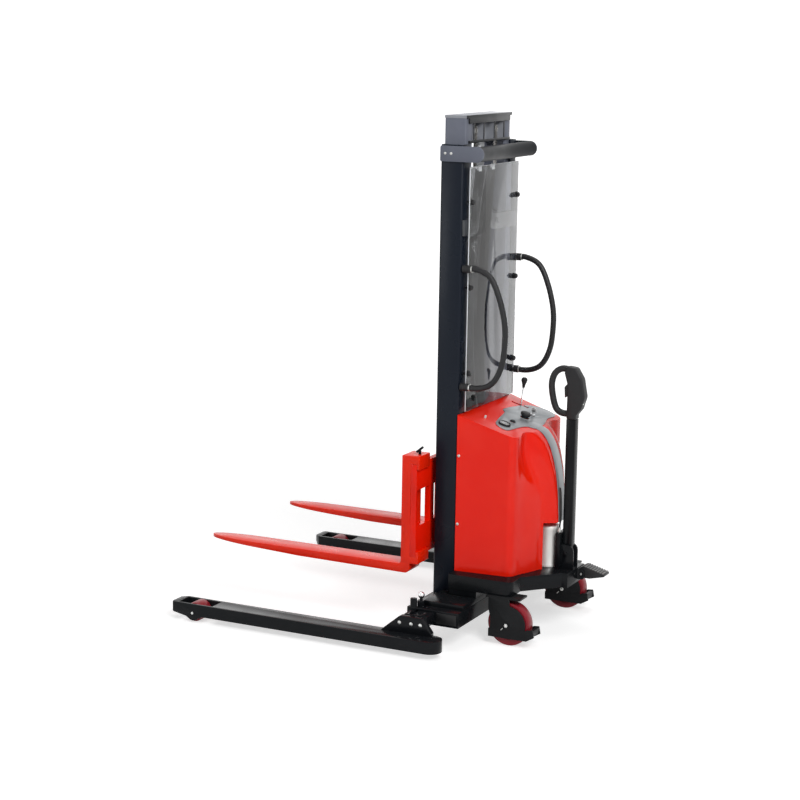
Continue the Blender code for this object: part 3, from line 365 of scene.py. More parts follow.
# colours are linear and wander from colour to shade; rough is the mean roughness, and the edge colour is that of
# rubbed edges, lighter on most finishes as a painted highlight along them
looks = {
    "redPaint": {"colour": (0.88, 0.013, 0.0005), "shade": (0.84, 0.010, 0.0005), "rough": 0.20, "coat": 0.12,
                 "shine": 0.16, "fine": 420, "bump": 0.015},
    "forkPaint": {"colour": (0.88, 0.022, 0.001), "shade": (0.82, 0.017, 0.001), "rough": 0.28, "coat": 0.1,
                  "shine": 0.16, "fine": 380, "bump": 0.03, "wearAndHighlight": 0.12, "wornAndLit": (0.40, 0.10, 0.05)},
    "blackPaint": {"colour": (0.007, 0.008, 0.010), "shade": (0.005, 0.006, 0.007), "rough": 0.22, "coat": 0.0,
                   "shine": 0.12, "fine": 420, "bump": 0.03, "wearAndHighlight": 0.12, "wornAndLit": (0.06, 0.06, 0.065),
                   "dust": 0.02},
    "mastPaint": {"colour": (0.009, 0.013, 0.021), "shade": (0.007, 0.010, 0.017), "rough": 0.30, "coat": 0.0,
                  "shine": 0.12, "fine": 420, "bump": 0.03, "wearAndHighlight": 0.1, "wornAndLit": (0.08, 0.09, 0.10)},
    "greyPaint": {"colour": (0.155, 0.165, 0.203), "shade": (0.127, 0.137, 0.170), "rough": 0.40, "coat": 0.0,
                  "shine": 0.12, "fine": 420, "bump": 0.03, "wearAndHighlight": 0.12, "wornAndLit": (0.30, 0.30, 0.31), "dust": 0.03},
    "ribPaint": {"colour": (0.30, 0.31, 0.34), "shade": (0.25, 0.26, 0.29), "rough": 0.35, "fine": 420,
                 "bump": 0.03},
    "darkGreyPaint": {"colour": (0.050, 0.054, 0.060), "shade": (0.040, 0.043, 0.048), "rough": 0.40,
                      "coat": 0.15, "fine": 420, "bump": 0.03, "wearAndHighlight": 0.1, "wornAndLit": (0.2, 0.2, 0.2), "dust": 0.03},
    "steel": {"colour": (0.62, 0.62, 0.61), "shade": (0.45, 0.45, 0.45), "rough": 0.28, "metal": 1.0,
              "pattern": "drawn", "fine": 120, "bump": 0.03, "dust": 0.1},
    "chrome": {"colour": (0.80, 0.80, 0.80), "shade": (0.70, 0.70, 0.71), "rough": 0.10, "metal": 1.0,
               "pattern": "drawn", "fine": 160, "bump": 0.01},
    "zinc": {"colour": (0.66, 0.67, 0.66), "shade": (0.48, 0.48, 0.46), "rough": 0.35, "metal": 1.0,
             "fine": 300, "bump": 0.05},
    "oiledSteel": {"colour": (0.42, 0.41, 0.39), "shade": (0.24, 0.23, 0.22), "rough": 0.36, "metal": 1.0,
                   "fine": 160, "bump": 0.08, "wearAndHighlight": 0.5, "wornAndLit": (0.5, 0.5, 0.48)},
    "castIron": {"colour": (0.014, 0.015, 0.016), "shade": (0.010, 0.010, 0.011), "rough": 0.42, "metal": 0.0,
                 "fine": 240, "bump": 0.12, "wearAndHighlight": 0.12, "wornAndLit": (0.08, 0.08, 0.08), "shine": 0.1},
    "polyurethane": {"colour": (0.27, 0.010, 0.020), "shade": (0.22, 0.008, 0.016), "rough": 0.34,
                     "fine": 260, "bump": 0.04, "wearAndHighlight": 0.2, "wornAndLit": (0.24, 0.04, 0.045), "sheen": 0.05},
    "silverPlastic": {"colour": (0.30, 0.32, 0.335), "shade": (0.25, 0.265, 0.28), "rough": 0.34, "metal": 0.35,
                      "coat": 0.25, "fine": 900, "bump": 0.03, "wearAndHighlight": 0.2, "wornAndLit": (0.4, 0.4, 0.42)},
    "blackPlastic": {"colour": (0.010, 0.010, 0.011), "shade": (0.007, 0.007, 0.008), "rough": 0.45,
                     "fine": 700, "bump": 0.18, "wearAndHighlight": 0.25, "wornAndLit": (0.06, 0.06, 0.062)},
    "gripRubber": {"colour": (0.011, 0.011, 0.012), "shade": (0.008, 0.008, 0.009), "rough": 0.48,
                   "fine": 500, "bump": 0.22, "sheen": 0.15},
    "treadRubber": {"colour": (0.27, 0.27, 0.27), "shade": (0.19, 0.19, 0.19), "rough": 0.75,
                    "fine": 400, "bump": 0.25, "sheen": 0.1, "dust": 0.3},
    "motorCan": {"colour": (0.84, 0.84, 0.81), "shade": (0.78, 0.78, 0.75), "rough": 0.38, "metal": 0.25,
                 "shine": 0.5, "pattern": "drawn", "fine": 70, "bump": 0.03},
    "dial": {"colour": (0.20, 0.20, 0.20), "shade": (0.17, 0.17, 0.17), "rough": 0.5, "fine": 800, "bump": 0.02},
    "edgeGlow": {"colour": (0.86, 0.88, 0.90), "shade": (0.80, 0.82, 0.84), "rough": 0.35, "shine": 0.5,
                 "fine": 500, "bump": 0.02},
    "rodSteel": {"colour": (0.42, 0.43, 0.44), "shade": (0.36, 0.37, 0.38), "rough": 0.42, "metal": 0.6,
                 "pattern": "drawn", "fine": 120, "bump": 0.02},
    "batteryCase": {"colour": (0.030, 0.032, 0.034), "shade": (0.022, 0.023, 0.024), "rough": 0.5,
                    "fine": 500, "bump": 0.12, "dust": 0.2},
}


def link(tree, name, kind):
    made = node(tree, "ShaderNodeGroup")
    made.node_tree = effects[kind]
    made.label = name
    return made


def mixColour(tree, factor, a, b):
    mix = node(tree, "ShaderNodeMix", data_type="RGBA")
    tree.links.new(factor, mix.inputs["Factor"])
    for socket, value in ((mix.inputs[6], a), (mix.inputs[7], b)):    # the mix node's colour sockets
        if isinstance(value, tuple):
            socket.default_value = (*value, 1)
        else:
            tree.links.new(value, socket)
    return mix.outputs[2]


def newFinish(name, look):
    material = bpy.data.materials.new(name)
    material.use_nodes = True
    tree = material.node_tree
    shader = tree.nodes["Principled BSDF"]
    shader.inputs["Metallic"].default_value = look.get("metal", 0.0)
    shader.inputs["Coat Weight"].default_value = look.get("coat", 0.0)
    shader.inputs["Coat Roughness"].default_value = 0.06
    shader.inputs["Specular IOR Level"].default_value = look.get("shine", 0.3)
    if "sheen" in look:
        shader.inputs["Sheen Weight"].default_value = look["sheen"]
        shader.inputs["Sheen Roughness"].default_value = 0.4
    skin = link(tree, "skin", look.get("pattern", "skin"))
    skin.inputs["Fine"].default_value = look["fine"]
    colour = mixColour(tree, skin.outputs["Variation"], look["colour"], look["shade"])
    rough = ramp(tree, skin.outputs["Variation"], 0.0, 1.0, look["rough"] - 0.05, look["rough"] + 0.06)
    roughness = rough.outputs["Result"]
    # rubbed edges: worn paint, and where the edge colour is lighter also a painted highlight along the edges
    if "wearAndHighlight" in look:
        wearAndHighlight = link(tree, "rubbed and highlighted edges", "wearAndHighlight")
        wearAndHighlight.inputs["Amount"].default_value = look["wearAndHighlight"]
        colour = mixColour(tree, wearAndHighlight.outputs["Mask"], colour, look["wornAndLit"])
        roughness = calc(tree, "ADD", roughness, calc(tree, "MULTIPLY", wearAndHighlight.outputs["Mask"], 0.15))
    if "dust" in look:
        dust = link(tree, "dust", "dust")
        dust.inputs["Amount"].default_value = look["dust"]
        colour = mixColour(tree, dust.outputs["Mask"], colour, dustColour)
        roughness = calc(tree, "ADD", roughness, calc(tree, "MULTIPLY", dust.outputs["Mask"], 0.5))
    bump = node(tree, "ShaderNodeBump", Strength=look["bump"], Distance=0.0006)
    tree.links.new(skin.outputs["Height"], bump.inputs["Height"])
    tree.links.new(colour, shader.inputs["Base Color"])
    tree.links.new(roughness, shader.inputs["Roughness"])
    tree.links.new(bump.outputs["Normal"], shader.inputs["Normal"])
    return material


def newTwoTone(name, look, other, axis, limit):    # another colour where the axis value is under the limit
    material = newFinish(name, look)
    tree = material.node_tree
    shader = tree.nodes["Principled BSDF"]
    plain = shader.inputs["Base Color"].links[0].from_socket
    where = node(tree, "ShaderNodeTexCoord")
    split = node(tree, "ShaderNodeSeparateXYZ")
    tree.links.new(where.outputs["Object"], split.inputs[0])
    value = split.outputs[axis]
    if axis == "X":    # the same on both sides of the middle
        value = calc(tree, "ABSOLUTE", value, 0.0)
    beyond = ramp(tree, value, limit - 0.0004, limit + 0.0004)
    tree.links.new(mixColour(tree, beyond.outputs["Result"], other, plain), shader.inputs["Base Color"])
    return material


def newClear(name):    # thin clear sheet with faint haze and fine scratches
    material = bpy.data.materials.new(name)
    material.use_nodes = True
    tree = material.node_tree
    shader = tree.nodes["Principled BSDF"]
    shader.inputs["Transmission Weight"].default_value = 1.0
    shader.inputs["IOR"].default_value = 1.49
    skin = link(tree, "haze", "skin")
    skin.inputs["Fine"].default_value = 8
    skin.inputs["Slow"].default_value = 2
    colour = mixColour(tree, skin.outputs["Variation"], (0.93, 0.94, 0.95), (0.91, 0.92, 0.935))
    rough = ramp(tree, skin.outputs["Height"], 0.3, 0.8, 0.02, 0.05)
    tree.links.new(colour, shader.inputs["Base Color"])
    tree.links.new(rough.outputs["Result"], shader.inputs["Roughness"])
    return material


finishes = {name: newFinish(name, look) for name, look in looks.items()}
finishes["clearSheet"] = newClear("clearSheet")
tiePlate, headBand = 0.2686, mastFace - 0.0886    # inner face of the tie's plates, rear bands of the head
finishes["tiePaint"] = newTwoTone("tiePaint", looks["greyPaint"], (0.010, 0.011, 0.013), "X", tiePlate)
finishes["headPaint"] = newTwoTone("headPaint", looks["ribPaint"], (0.008, 0.009, 0.011), "Y", headBand)
print("finishes made:", len(finishes))


def makeSmoother():    # shades smooth, with edges over the limit kept sharp
    group = bpy.data.node_groups.new("smoothByAngle", "GeometryNodeTree")
    group.interface.new_socket(name="Geometry", in_out="INPUT", socket_type="NodeSocketGeometry")
    limit = group.interface.new_socket(name="Angle", in_out="INPUT", socket_type="NodeSocketFloat")
    limit.default_value = radians(32)
    group.interface.new_socket(name="Geometry", in_out="OUTPUT", socket_type="NodeSocketGeometry")
    entry, leave = group.nodes.new("NodeGroupInput"), group.nodes.new("NodeGroupOutput")
    faces = node(group, "GeometryNodeSetShadeSmooth", domain="FACE")
    faces.inputs["Shade Smooth"].default_value = True
    edges = node(group, "GeometryNodeSetShadeSmooth", domain="EDGE")
    edges.inputs["Shade Smooth"].default_value = False
    angle = node(group, "GeometryNodeInputMeshEdgeAngle")
    sharp = node(group, "FunctionNodeCompare", data_type="FLOAT", operation="GREATER_THAN")
    group.links.new(entry.outputs["Geometry"], faces.inputs["Geometry"])
    group.links.new(faces.outputs["Geometry"], edges.inputs["Geometry"])
    group.links.new(angle.outputs["Unsigned Angle"], sharp.inputs[0])
    group.links.new(entry.outputs["Angle"], sharp.inputs[1])
    group.links.new(sharp.outputs["Result"], edges.inputs["Selection"])
    group.links.new(edges.outputs["Geometry"], leave.inputs["Geometry"])
    return group


smoother = makeSmoother()
# frame node or its prefix: (finish, edge width)
kept = {
    "cross_beam": ("blackPaint", 0.0016), "chassis_plate": ("blackPaint", 0.0012),
    "chassis_tray": ("blackPaint", 0.0010), "mast_outer_": ("mastPaint", 0.0012),
    "mast_tie": ("tiePaint", 0.0010), "mast_cross_upper": ("darkGreyPaint", 0.0010),
    "lift_cylinder": ("blackPaint", 0.0010), "battery": ("batteryCase", 0.0020),
    "hydraulic_tank": ("blackPaint", 0.0020), "tiller_base": ("blackPaint", 0.0012),
    "inner_mast_": ("greyPaint", 0.0010), "inner_head": ("headPaint", 0.0010),
    "inner_cross_lower": ("blackPaint", 0.0008), "piston_rod": ("rodSteel", 0.0006),
    "carriage_frame": ("redPaint", 0.0014), "carriage_roller_": ("oiledSteel", 0.0005),
    "fork_pin_": ("castIron", 0.0005), "fork_": ("forkPaint", 0.0016),
    "leg_slide_": ("blackPaint", 0.0012), "leg_": ("blackPaint", 0.0014),
    "castor_fork_": ("castIron", 0.0010), "tiller": ("blackPaint", 0.0016),
    "chain_pulley_": ("steel", 0.0006), "mast_roller_": ("oiledSteel", 0.0005),
}


def carry(name, finish, edge):    # eases a frame node's edges and paints it
    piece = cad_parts[name]
    piece.data.materials.clear()
    piece.data.materials.append(finishes[finish])
    weld = piece.modifiers.new("weld", "WELD")
    weld.merge_threshold = 0.00001
    flats = piece.modifiers.new("flats", "DECIMATE")
    flats.decimate_type = "DISSOLVE"
    flats.angle_limit = radians(0.6)
    bevel = piece.modifiers.new("edges", "BEVEL")
    bevel.width = edge
    bevel.segments = 2
    bevel.limit_method = "ANGLE"
    bevel.angle_limit = radians(32)
    shade = piece.modifiers.new("shade", "NODES")
    shade.node_group = smoother


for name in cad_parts:
    match = [key for key in kept if name == key or (key.endswith("_") and name.startswith(key))]
    if match:
        carry(name, *kept[max(match, key=len)])
print("frame pieces finished")


# cover: a moulded shell with two lobes and a rear spine
cover = {"half": 0.274, "taper": 0.016, "front": -0.0995, "depth": 0.2125, "rear": -0.348, "foot": 0.2643,
         "corner": 0.036, "lobeEdge": 0.222, "wall": 0.003, "edge": 0.012, "slopeZ": 0.914, "slope": 0.307,
         "slant": 0.054, "slantFrom": 0.245, "slantTo": 0.060, "swellFrom": 0.55, "swellTo": 0.80,
         "valley": 0.013, "valleyWidth": 0.050}
motorBay = {"half": 0.080, "rear": -0.60, "front": -0.352, "foot": 0.20, "top": 0.460}
# (height, rear of the spine)
spineLine = [(0.2643, -0.455), (0.460, -0.455), (0.572, -0.449), (0.672, -0.436), (0.752, -0.415),
             (0.795, -0.395), (0.824, -0.372), (0.838, -0.352), (0.940, -0.350)]
coverHeights = [0.2643, 0.33, 0.40, 0.46, 0.50, 0.54, 0.58, 0.61, 0.64, 0.67, 0.695, 0.72, 0.742, 0.762, 0.78,
                0.795, 0.808, 0.818, 0.828, 0.838, 0.85, 0.88, 0.94]


def eased(value, low, high):
    t = min(max((value - low) / (high - low), 0.0), 1.0)
    return t * t * (3 - 2 * t)


def slopeZ(y):    # height of the sloping top
    return cover["slopeZ"] + cover["slope"] * (y - cover["front"])


def spineAt(z):
    for (z0, y0), (z1, y1) in zip(spineLine, spineLine[1:]):
        if z <= z1:
            return y0 + (y1 - y0) * (z - z0) / (z1 - z0)
    return spineLine[-1][1]


def rearAt(x, z):    # the rear surface: a slanting lobe, a valley that fades downwards, the spine
    high = eased(z, cover["swellFrom"], cover["swellTo"])
    lobe = cover["rear"] - cover["slant"] * (1 - high) * eased(-x, cover["slantFrom"], cover["slantTo"])
    outer, inner = 0.090 + 0.050 * high, 0.045 + 0.020 * high
    lobe += cover["valley"] * high * max(0.0, 1 - (abs(-x - outer) / cover["valleyWidth"]) ** 2)
    blend = eased(-x, outer, inner)
    return lobe * (1 - blend) + min(spineAt(z), lobe) * blend


def coverLoop(z):    # one level of the shell: side, round corner, rear, and the same mirrored
    half, turn, edge = cover["half"], cover["corner"], cover["lobeEdge"]
    side = [(-half + cover["taper"] * t, cover["front"] - cover["depth"] * t, z)
            for t in (0, 0.02, 0.25, 0.5, 0.75, 1.0)]
    endX, endY = side[-1][0], side[-1][1]
    arc = [(endX + turn * (1 - cos(radians(angle))), endY - turn * sin(radians(angle)), z)
           for angle in range(10, 90, 10)]
    rear = [(x, rearAt(x, z), z) for x in [-edge + edge * step / 24 for step in range(25)]]
    left = side + arc + rear
    return left + [(-x, y, height) for x, y, height in reversed(left[:-1])]


loops = []
for height in coverHeights:
    loops.append(drawLine("coverLevel", coverLoop(height)))
    bpy.ops.object.mode_set(mode="OBJECT")
shell = joinAll(loops, "coverShell")
bpy.ops.object.mode_set(mode="EDIT")
bpy.ops.mesh.select_all(action="SELECT")
bpy.ops.mesh.bridge_edge_loops()
bpy.ops.mesh.select_all(action="SELECT")
bpy.ops.mesh.bisect(plane_co=(0, cover["front"], cover["slopeZ"]), plane_no=(0, -cover["slope"], 1),
                    use_fill=True, clear_outer=True)
bpy.ops.mesh.bevel(offset=cover["edge"], segments=5, profile=0.5, affect="EDGES", clamp_overlap=True)
bpy.ops.mesh.select_all(action="SELECT")
bpy.ops.mesh.bisect(plane_co=(0, 0, cover["foot"] + 0.0002), plane_no=(0, 0, -1), use_fill=True, clear_outer=True)
bpy.ops.object.mode_set(mode="OBJECT")
facesOut(shell)
cutWith(shell, block("motorBay", (-motorBay["half"], motorBay["rear"], motorBay["foot"]),
                     (motorBay["half"], motorBay["front"], motorBay["top"])))
only(shell)
bpy.ops.object.mode_set(mode="EDIT")
bpy.ops.mesh.select_all(action="DESELECT")
bpy.ops.mesh.select_mode(type="FACE")
bpy.ops.object.mode_set(mode="OBJECT")
for face in shell.data.polygons:    # the cover is open underneath
    face.select = face.normal.z < -0.9 and face.center.z < cover["foot"] + 0.002
bpy.ops.object.mode_set(mode="EDIT")
bpy.ops.mesh.delete(type="FACE")
bpy.ops.mesh.select_mode(type="VERT")
bpy.ops.object.mode_set(mode="OBJECT")
thicken(shell, cover["wall"])
topTurn = (atan(cover["slope"]), 0, 0)

# (x, y) on the sloping top, and the holes' radii
topPlaces = {"gauge": (-0.152, -0.253), "push": (-0.076, -0.257), "stop": (0.040, -0.262),
             "key": (0.108, -0.268), "peg": (-0.168, -0.1745)}
holes = {"push": 0.0131, "stop": 0.0196, "key": 0.0116}
leverSlot = ((0.173, -0.222, 0.84), (0.187, -0.142, 0.96))


def openTop(piece):    # holes square to the slope, and the lever's slot
    for control, radius in holes.items():
        x, y = topPlaces[control]
        hole = rod("hole", (0, 0, -0.05), (0, 0, 0.05), radius, 32)
        hole.rotation_euler = topTurn
        hole.location = (x, y, slopeZ(y))
        cutWith(piece, settle(hole))
    cutWith(piece, block("leverSlot", *leverSlot))


openTop(shell)
fit(shell, "chassis", "redPaint", ("cover",), 40)
print("cover made:", len(shell.data.polygons), "faces")

# silver panel: a free-form plate on the slope, flowing down the spine as a strip
panel = {"rise": 0.0006, "thick": 0.0026, "stripHalf": 0.033, "edge": 0.0009}
panelOutline = [(-0.178, -0.226), (-0.206, -0.262), (-0.196, -0.290), (-0.114, -0.300), (-0.056, -0.314),
                (-0.033, -0.344), (0.033, -0.344), (0.092, -0.334), (0.152, -0.320), (0.222, -0.324),
                (0.250, -0.305), (0.256, -0.262), (0.234, -0.222), (0.188, -0.196), (0.096, -0.176),
                (0.026, -0.170), (-0.004, -0.190), (-0.094, -0.206)]
knots = [Vector((x, y, slopeZ(y) + panel["rise"])) for x, y in panelOutline]
smoothOutline = [curvePoint([knots[(k + shift) % len(knots)] for shift in (-1, 0, 1, 2)], step / 5)
                 for k in range(len(knots)) for step in range(5)]
lean = Vector((0, -cover["slope"], 1)).normalized()
consolePanel = plate("consolePanel", smoothOutline, lean * panel["thick"])
stripLine = [(-0.300, slopeZ(-0.300)), (-0.338, slopeZ(-0.338)), (-0.3495, slopeZ(-0.352) - 0.0005)]
stripLine += [(y, z) for z, y in reversed(spineLine[1:7])]
curve = smoothPath([(0, y, z) for y, z in stripLine], 5)
outward = []
for k in range(len(curve)):
    ahead = curve[min(k + 1, len(curve) - 1)] - curve[max(k - 1, 0)]
    outward.append(Vector((0, ahead.z, -ahead.y)).normalized())
near = [spot + out * panel["rise"] for spot, out in zip(curve, outward)]
far = [spot + out * (panel["rise"] + panel["thick"]) for spot, out in zip(curve, outward)]
strip = plate("spineStrip", [(-panel["stripHalf"], spot.y, spot.z) for spot in near + far[::-1]],
              (2 * panel["stripHalf"], 0, 0))
cutWith(consolePanel, strip, "UNION")
openTop(consolePanel)
soften(consolePanel, panel["edge"], 2, 40)
fit(consolePanel, "chassis", "silverPlastic", ("console_trim",), 40)
print("console panel made")


def boltSet(name, places, size=0.008, washer=True):    # hexagon heads, each on its washer
    pieces = []
    for place, direction in places:
        head = rod("head", (0, 0, 0.0012), (0, 0, size * 0.72), size, 6, edge=size * 0.12)
        if washer:
            ring = rod("ring", (0, 0, -0.0004), (0, 0, 0.0016), size * 1.35, 20, edge=0.0004)
            head = joinAll([head, ring], "head")
        head.location = place
        head.rotation_euler = aim(direction)
        pieces.append(settle(head))
    return joinAll(pieces, name)


def screwSet(name, places, size=0.005):    # pan heads with a cross recess
    profile = [(0, -0.0006), (size, -0.0006), (size, size * 0.25), (size * 0.8, size * 0.5),
               (size * 0.4, size * 0.62), (0, size * 0.64)]
    master = turned("screwHead", profile, (0, 0, 0), "Z", 16, False)
    for wide, long in ((0.6, 0.12), (0.12, 0.6)):
        cutWith(master, block("recess", (-size * wide, -size * long, size * 0.3), (size * wide, size * long, size)))
    pieces = [copyOf(master, "screw", place, aim(direction)) for place, direction in places]
    bpy.data.objects.remove(master)
    return joinAll(pieces, name)


# lift chains: leaf links from the carriage over the pulley and down to the rear anchor
chain = {"pitch": 0.015875, "plateHeight": 0.0092, "plateThick": 0.0019, "pinRadius": 0.0026,
         "middle": 0.100, "halfWidth": 0.009, "foot": 0.642, "turnY": -0.040, "turnZ": 2.045,
         "radius": 0.034, "rearFoot": 1.702}


def chainSpot(distance):    # place and heading at a distance along the run
    rise = chain["turnZ"] - chain["foot"]
    if distance <= rise:
        return (chain["turnY"] + chain["radius"], chain["foot"] + distance), 0.0
    angle = (distance - rise) / chain["radius"]
    if angle <= pi:
        return (chain["turnY"] + chain["radius"] * cos(angle), chain["turnZ"] + chain["radius"] * sin(angle)), angle
    return (chain["turnY"] - chain["radius"], chain["turnZ"] - (angle - pi) * chain["radius"]), pi


def linkPlates(name, places):    # one link: plates side by side, waisted between the pins
    half, tall = chain["pitch"] / 2, chain["plateHeight"] / 2
    outline = []
    for end in (1, -1):
        for step in range(7):
            angle = (-75 + 25 * step) * pi / 180
            outline.append((end * tall * sin(angle), end * (half + tall * 0.72 * cos(angle))))
        outline.append((end * tall * 0.78, 0))
    return joinAll([plate("link", [(x - chain["plateThick"] / 2, y, z) for y, z in outline],
                          (chain["plateThick"], 0, 0)) for x in places], name)


outerLink = linkPlates("outerLink", (-0.0078, -0.0026, 0.0026, 0.0078))
pinEnd = chain["halfWidth"] - 0.0002
for end in (-1, 1):
    pinZ = end * chain["pitch"] / 2
    pin = rod("pin", (-pinEnd, 0, pinZ), (pinEnd, 0, pinZ), chain["pinRadius"], 10, edge=0.0004)
    outerLink = joinAll([outerLink, pin], "outerLink")
innerLink = linkPlates("innerLink", (-0.0052, 0.0, 0.0052))
run = chain["turnZ"] - chain["foot"] + pi * chain["radius"] + chain["turnZ"] - chain["rearFoot"]
count = int(run / chain["pitch"])
links = []
for index in range(count):
    (y, z), angle = chainSpot((index + 0.5) * run / count)
    master = outerLink if index % 2 == 0 else innerLink
    links.append(copyOf(master, "link", (-chain["middle"], y, z), (angle, 0, 0)))
leftChain = joinAll(links, "leafChainLeft")
rightChain = copyOf(leftChain, "leafChainRight", (2 * chain["middle"], 0, 0))
fit(leftChain, "moving_mast", "oiledSteel", ("lift_chain_left",))
fit(rightChain, "moving_mast", "oiledSteel", ("lift_chain_right",))
bpy.data.objects.remove(outerLink)
bpy.data.objects.remove(innerLink)
print("chains:", count, "links each")

# wheels: profiles are (radius, along the axle)
castorWheel = {"x": 0.304, "y": -0.367, "radius": 0.090, "half": 0.025, "hubRadius": 0.064, "bore": 0.0125}
rim, half, hub, bore = (castorWheel[key] for key in ("radius", "half", "hubRadius", "bore"))
castorTyre = [(hub, -half + 0.001), (hub + 0.004, -half), (rim - 0.006, -half), (rim - 0.002, -half + 0.002),
              (rim, -half + 0.006), (rim, half - 0.006), (rim - 0.002, half - 0.002), (rim - 0.006, half),
              (hub + 0.004, half), (hub, half - 0.001)]
castorCore = [(bore, -half + 0.0005), (0.026, -half + 0.0005), (0.028, -half + 0.003), (0.030, -half + 0.009),
              (hub - 0.008, -half + 0.009), (hub - 0.005, -half + 0.003), (hub - 0.0002, -half + 0.003),
              (hub - 0.0002, half - 0.003), (hub - 0.005, half - 0.003), (hub - 0.008, half - 0.009),
              (0.030, half - 0.009), (0.028, half - 0.003), (0.026, half - 0.0005), (bore, half - 0.0005)]
for side, word in ((-1, "left"), (1, "right")):
    body, x, y, z = "castor_wheel_" + word, side * castorWheel["x"], castorWheel["y"], rim
    fit(turned("castorTyre" + word.title(), castorTyre, (x, y, z), "X", 72), body, "polyurethane",
        (body,))
    fit(turned("castorCore" + word.title(), castorCore, (x, y, z), "X", 56), body, "polyurethane")
    nuts = []
    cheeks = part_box("castor_fork_" + word)
    for out, cheek in ((-1, cheeks[0][0]), (1, cheeks[1][0])):    # nut, stud end and cotter pin on each cheek
        nuts.append(boltSet("nut", [((cheek, y, z), (out, 0, 0))], 0.0085, False))
        nuts.append(rod("stud", (cheek, y, z), (cheek + out * 0.0100, y, z), 0.0045, 16, edge=0.0008))
        nuts.append(rod("cotterPin", (cheek + out * 0.0015, y + 0.014, z - 0.012),
                        (cheek + out * 0.0015, y + 0.022, z - 0.022), 0.0016, 10, edge=0.0004))
    fit(joinAll(nuts, "axleNuts" + word.title()), "castor_" + word, "zinc")

loadRoller = {"x": 0.622, "y": 0.911, "z": 0.040, "radius": 0.040, "half": 0.035, "bore": 0.0105}
rim, half = loadRoller["radius"], loadRoller["half"]
rollerTyre = [(0.031, -half), (rim - 0.004, -half), (rim - 0.001, -half + 0.001), (rim, -half + 0.004),
              (rim, half - 0.004), (rim - 0.001, half - 0.001), (rim - 0.004, half), (0.031, half)]
rollerCore = [(loadRoller["bore"], -half), (0.0308, -half), (0.0308, half), (loadRoller["bore"], half)]
for side, word in ((-1, "left"), (1, "right")):
    body, centre = "load_roller_" + word, (side * loadRoller["x"], loadRoller["y"], loadRoller["z"])
    fit(turned("rollerTyre" + word.title(), rollerTyre, centre, "X", 48), body, "polyurethane",
        (body,))
    fit(turned("rollerCore" + word.title(), rollerCore, centre, "X", 32), body, "steel")
print("wheels and rollers made")

# driver's side: the clear guard with its knobs, then the grab handles
screen = {"half": 0.2435, "front": -0.1175, "rear": -0.1205, "foot": 0.925, "top": 1.9085,
          "knobX": 0.229, "knobZ": (1.078, 1.428, 1.770), "mastSide": -0.1016}
knobProfile = [(0, 0.0), (0.0095, 0.0), (0.0105, -0.002), (0.0105, -0.007), (0.0088, -0.0105), (0.004, -0.0118),
               (0, -0.012)]
halfWide, rear, front, top = (screen[key] for key in ("half", "rear", "front", "top"))
pane = block("clearGuard", (-halfWide, rear, screen["foot"]), (halfWide, front, top), 0.0006)
fit(pane, "chassis", "clearSheet", ("guard_screen",))
knobs, stems = [], []
for x in (-screen["knobX"], screen["knobX"]):
    for z in screen["knobZ"]:
        knobs.append(turned("knob", knobProfile, (x, rear - 0.0012, z), "Y", 24, False))
        for name, start, end, radius, sides, edge in (("washer", rear - 0.0013, rear + 0.0001, 0.0125, 24, 0.0003),
                                                      ("spacer", front, screen["mastSide"], 0.0050, 20, 0.0005),
                                                      ("screw", rear - 0.0150, rear - 0.0128, 0.0030, 12, 0.0005)):
            stems.append(rod(name, (x, start, z), (x, end, z), radius, sides, edge=edge))
fit(joinAll(knobs, "guardKnobs"), "chassis", "blackPlastic")
fit(joinAll(stems, "guardSpacers"), "chassis", "blackPlastic")
# painted highlight: pale bars along the guard's sides and top stand for the light caught in the clear sheet's edges
edges = [block("edge", (side * halfWide - 0.0009, rear - 0.0001, screen["foot"]),
               (side * halfWide + 0.0009, front + 0.0001, top + 0.0004), 0.0004) for side in (-1, 1)]
edges.append(block("edge", (-halfWide, rear - 0.0001, top - 0.0009),
                   (halfWide, front + 0.0001, top + 0.0009), 0.0004))
fit(joinAll(edges, "guardEdgeHighlights"), "chassis", "edgeGlow")
clips = [block("clip", (x - 0.011, rear - 0.0022, top - 0.020), (x + 0.011, front + 0.0022, top + 0.004), 0.0008)
         for x in (-0.150, -0.020)]
fit(joinAll(clips, "guardClips"), "chassis", "edgeGlow")

grab = {"x": 0.2565, "radius": 0.0120, "collar": 0.0158, "ridges": 5, "ridgePitch": 0.0072, "knots": [
    (-0.1020, 1.506), (-0.160, 1.507), (-0.222, 1.478), (-0.262, 1.400), (-0.288, 1.300), (-0.291, 1.215),
    (-0.279, 1.125), (-0.243, 1.056), (-0.185, 1.028), (-0.1020, 1.027)]}
bar = tube("grabHandleLeft", smoothPath([(-grab["x"], y, z) for y, z in grab["knots"]], 8), grab["radius"], 5)
inside, outside = grab["radius"] - 0.001, grab["collar"]
sleeve = [(inside, 0.0)]
for ridge in range(grab["ridges"]):    # ribbed sleeve
    start = -(0.001 + ridge * grab["ridgePitch"])
    sleeve += [(outside - 0.0012, start), (outside, start - 0.0012), (outside, start - 0.0052),
               (outside - 0.0012, start - 0.0064)]
sleeve += [(inside, -0.0380)]
collar = joinAll([turned("collar", sleeve, (-grab["x"], -0.1018, z), "Y", 28) for z in (1.506, 1.0275)],
                 "grabCollarsLeft")
ringProfile = [(0.0118, 0.0), (0.0142, 0.0), (0.0142, -0.0040), (0.0118, -0.0040)]
rings = joinAll([turned("ring", ringProfile, (-grab["x"], -0.1402, z), "Y", 28) for z in (1.5065, 1.0272)],
                "grabRingsLeft")
fit(mirrorOf(rings, "grabRingsRight"), "chassis", "zinc")
fit(rings, "chassis", "zinc")
barRight, collarRight = mirrorOf(bar, "grabHandleRight"), mirrorOf(collar, "grabCollarsRight")
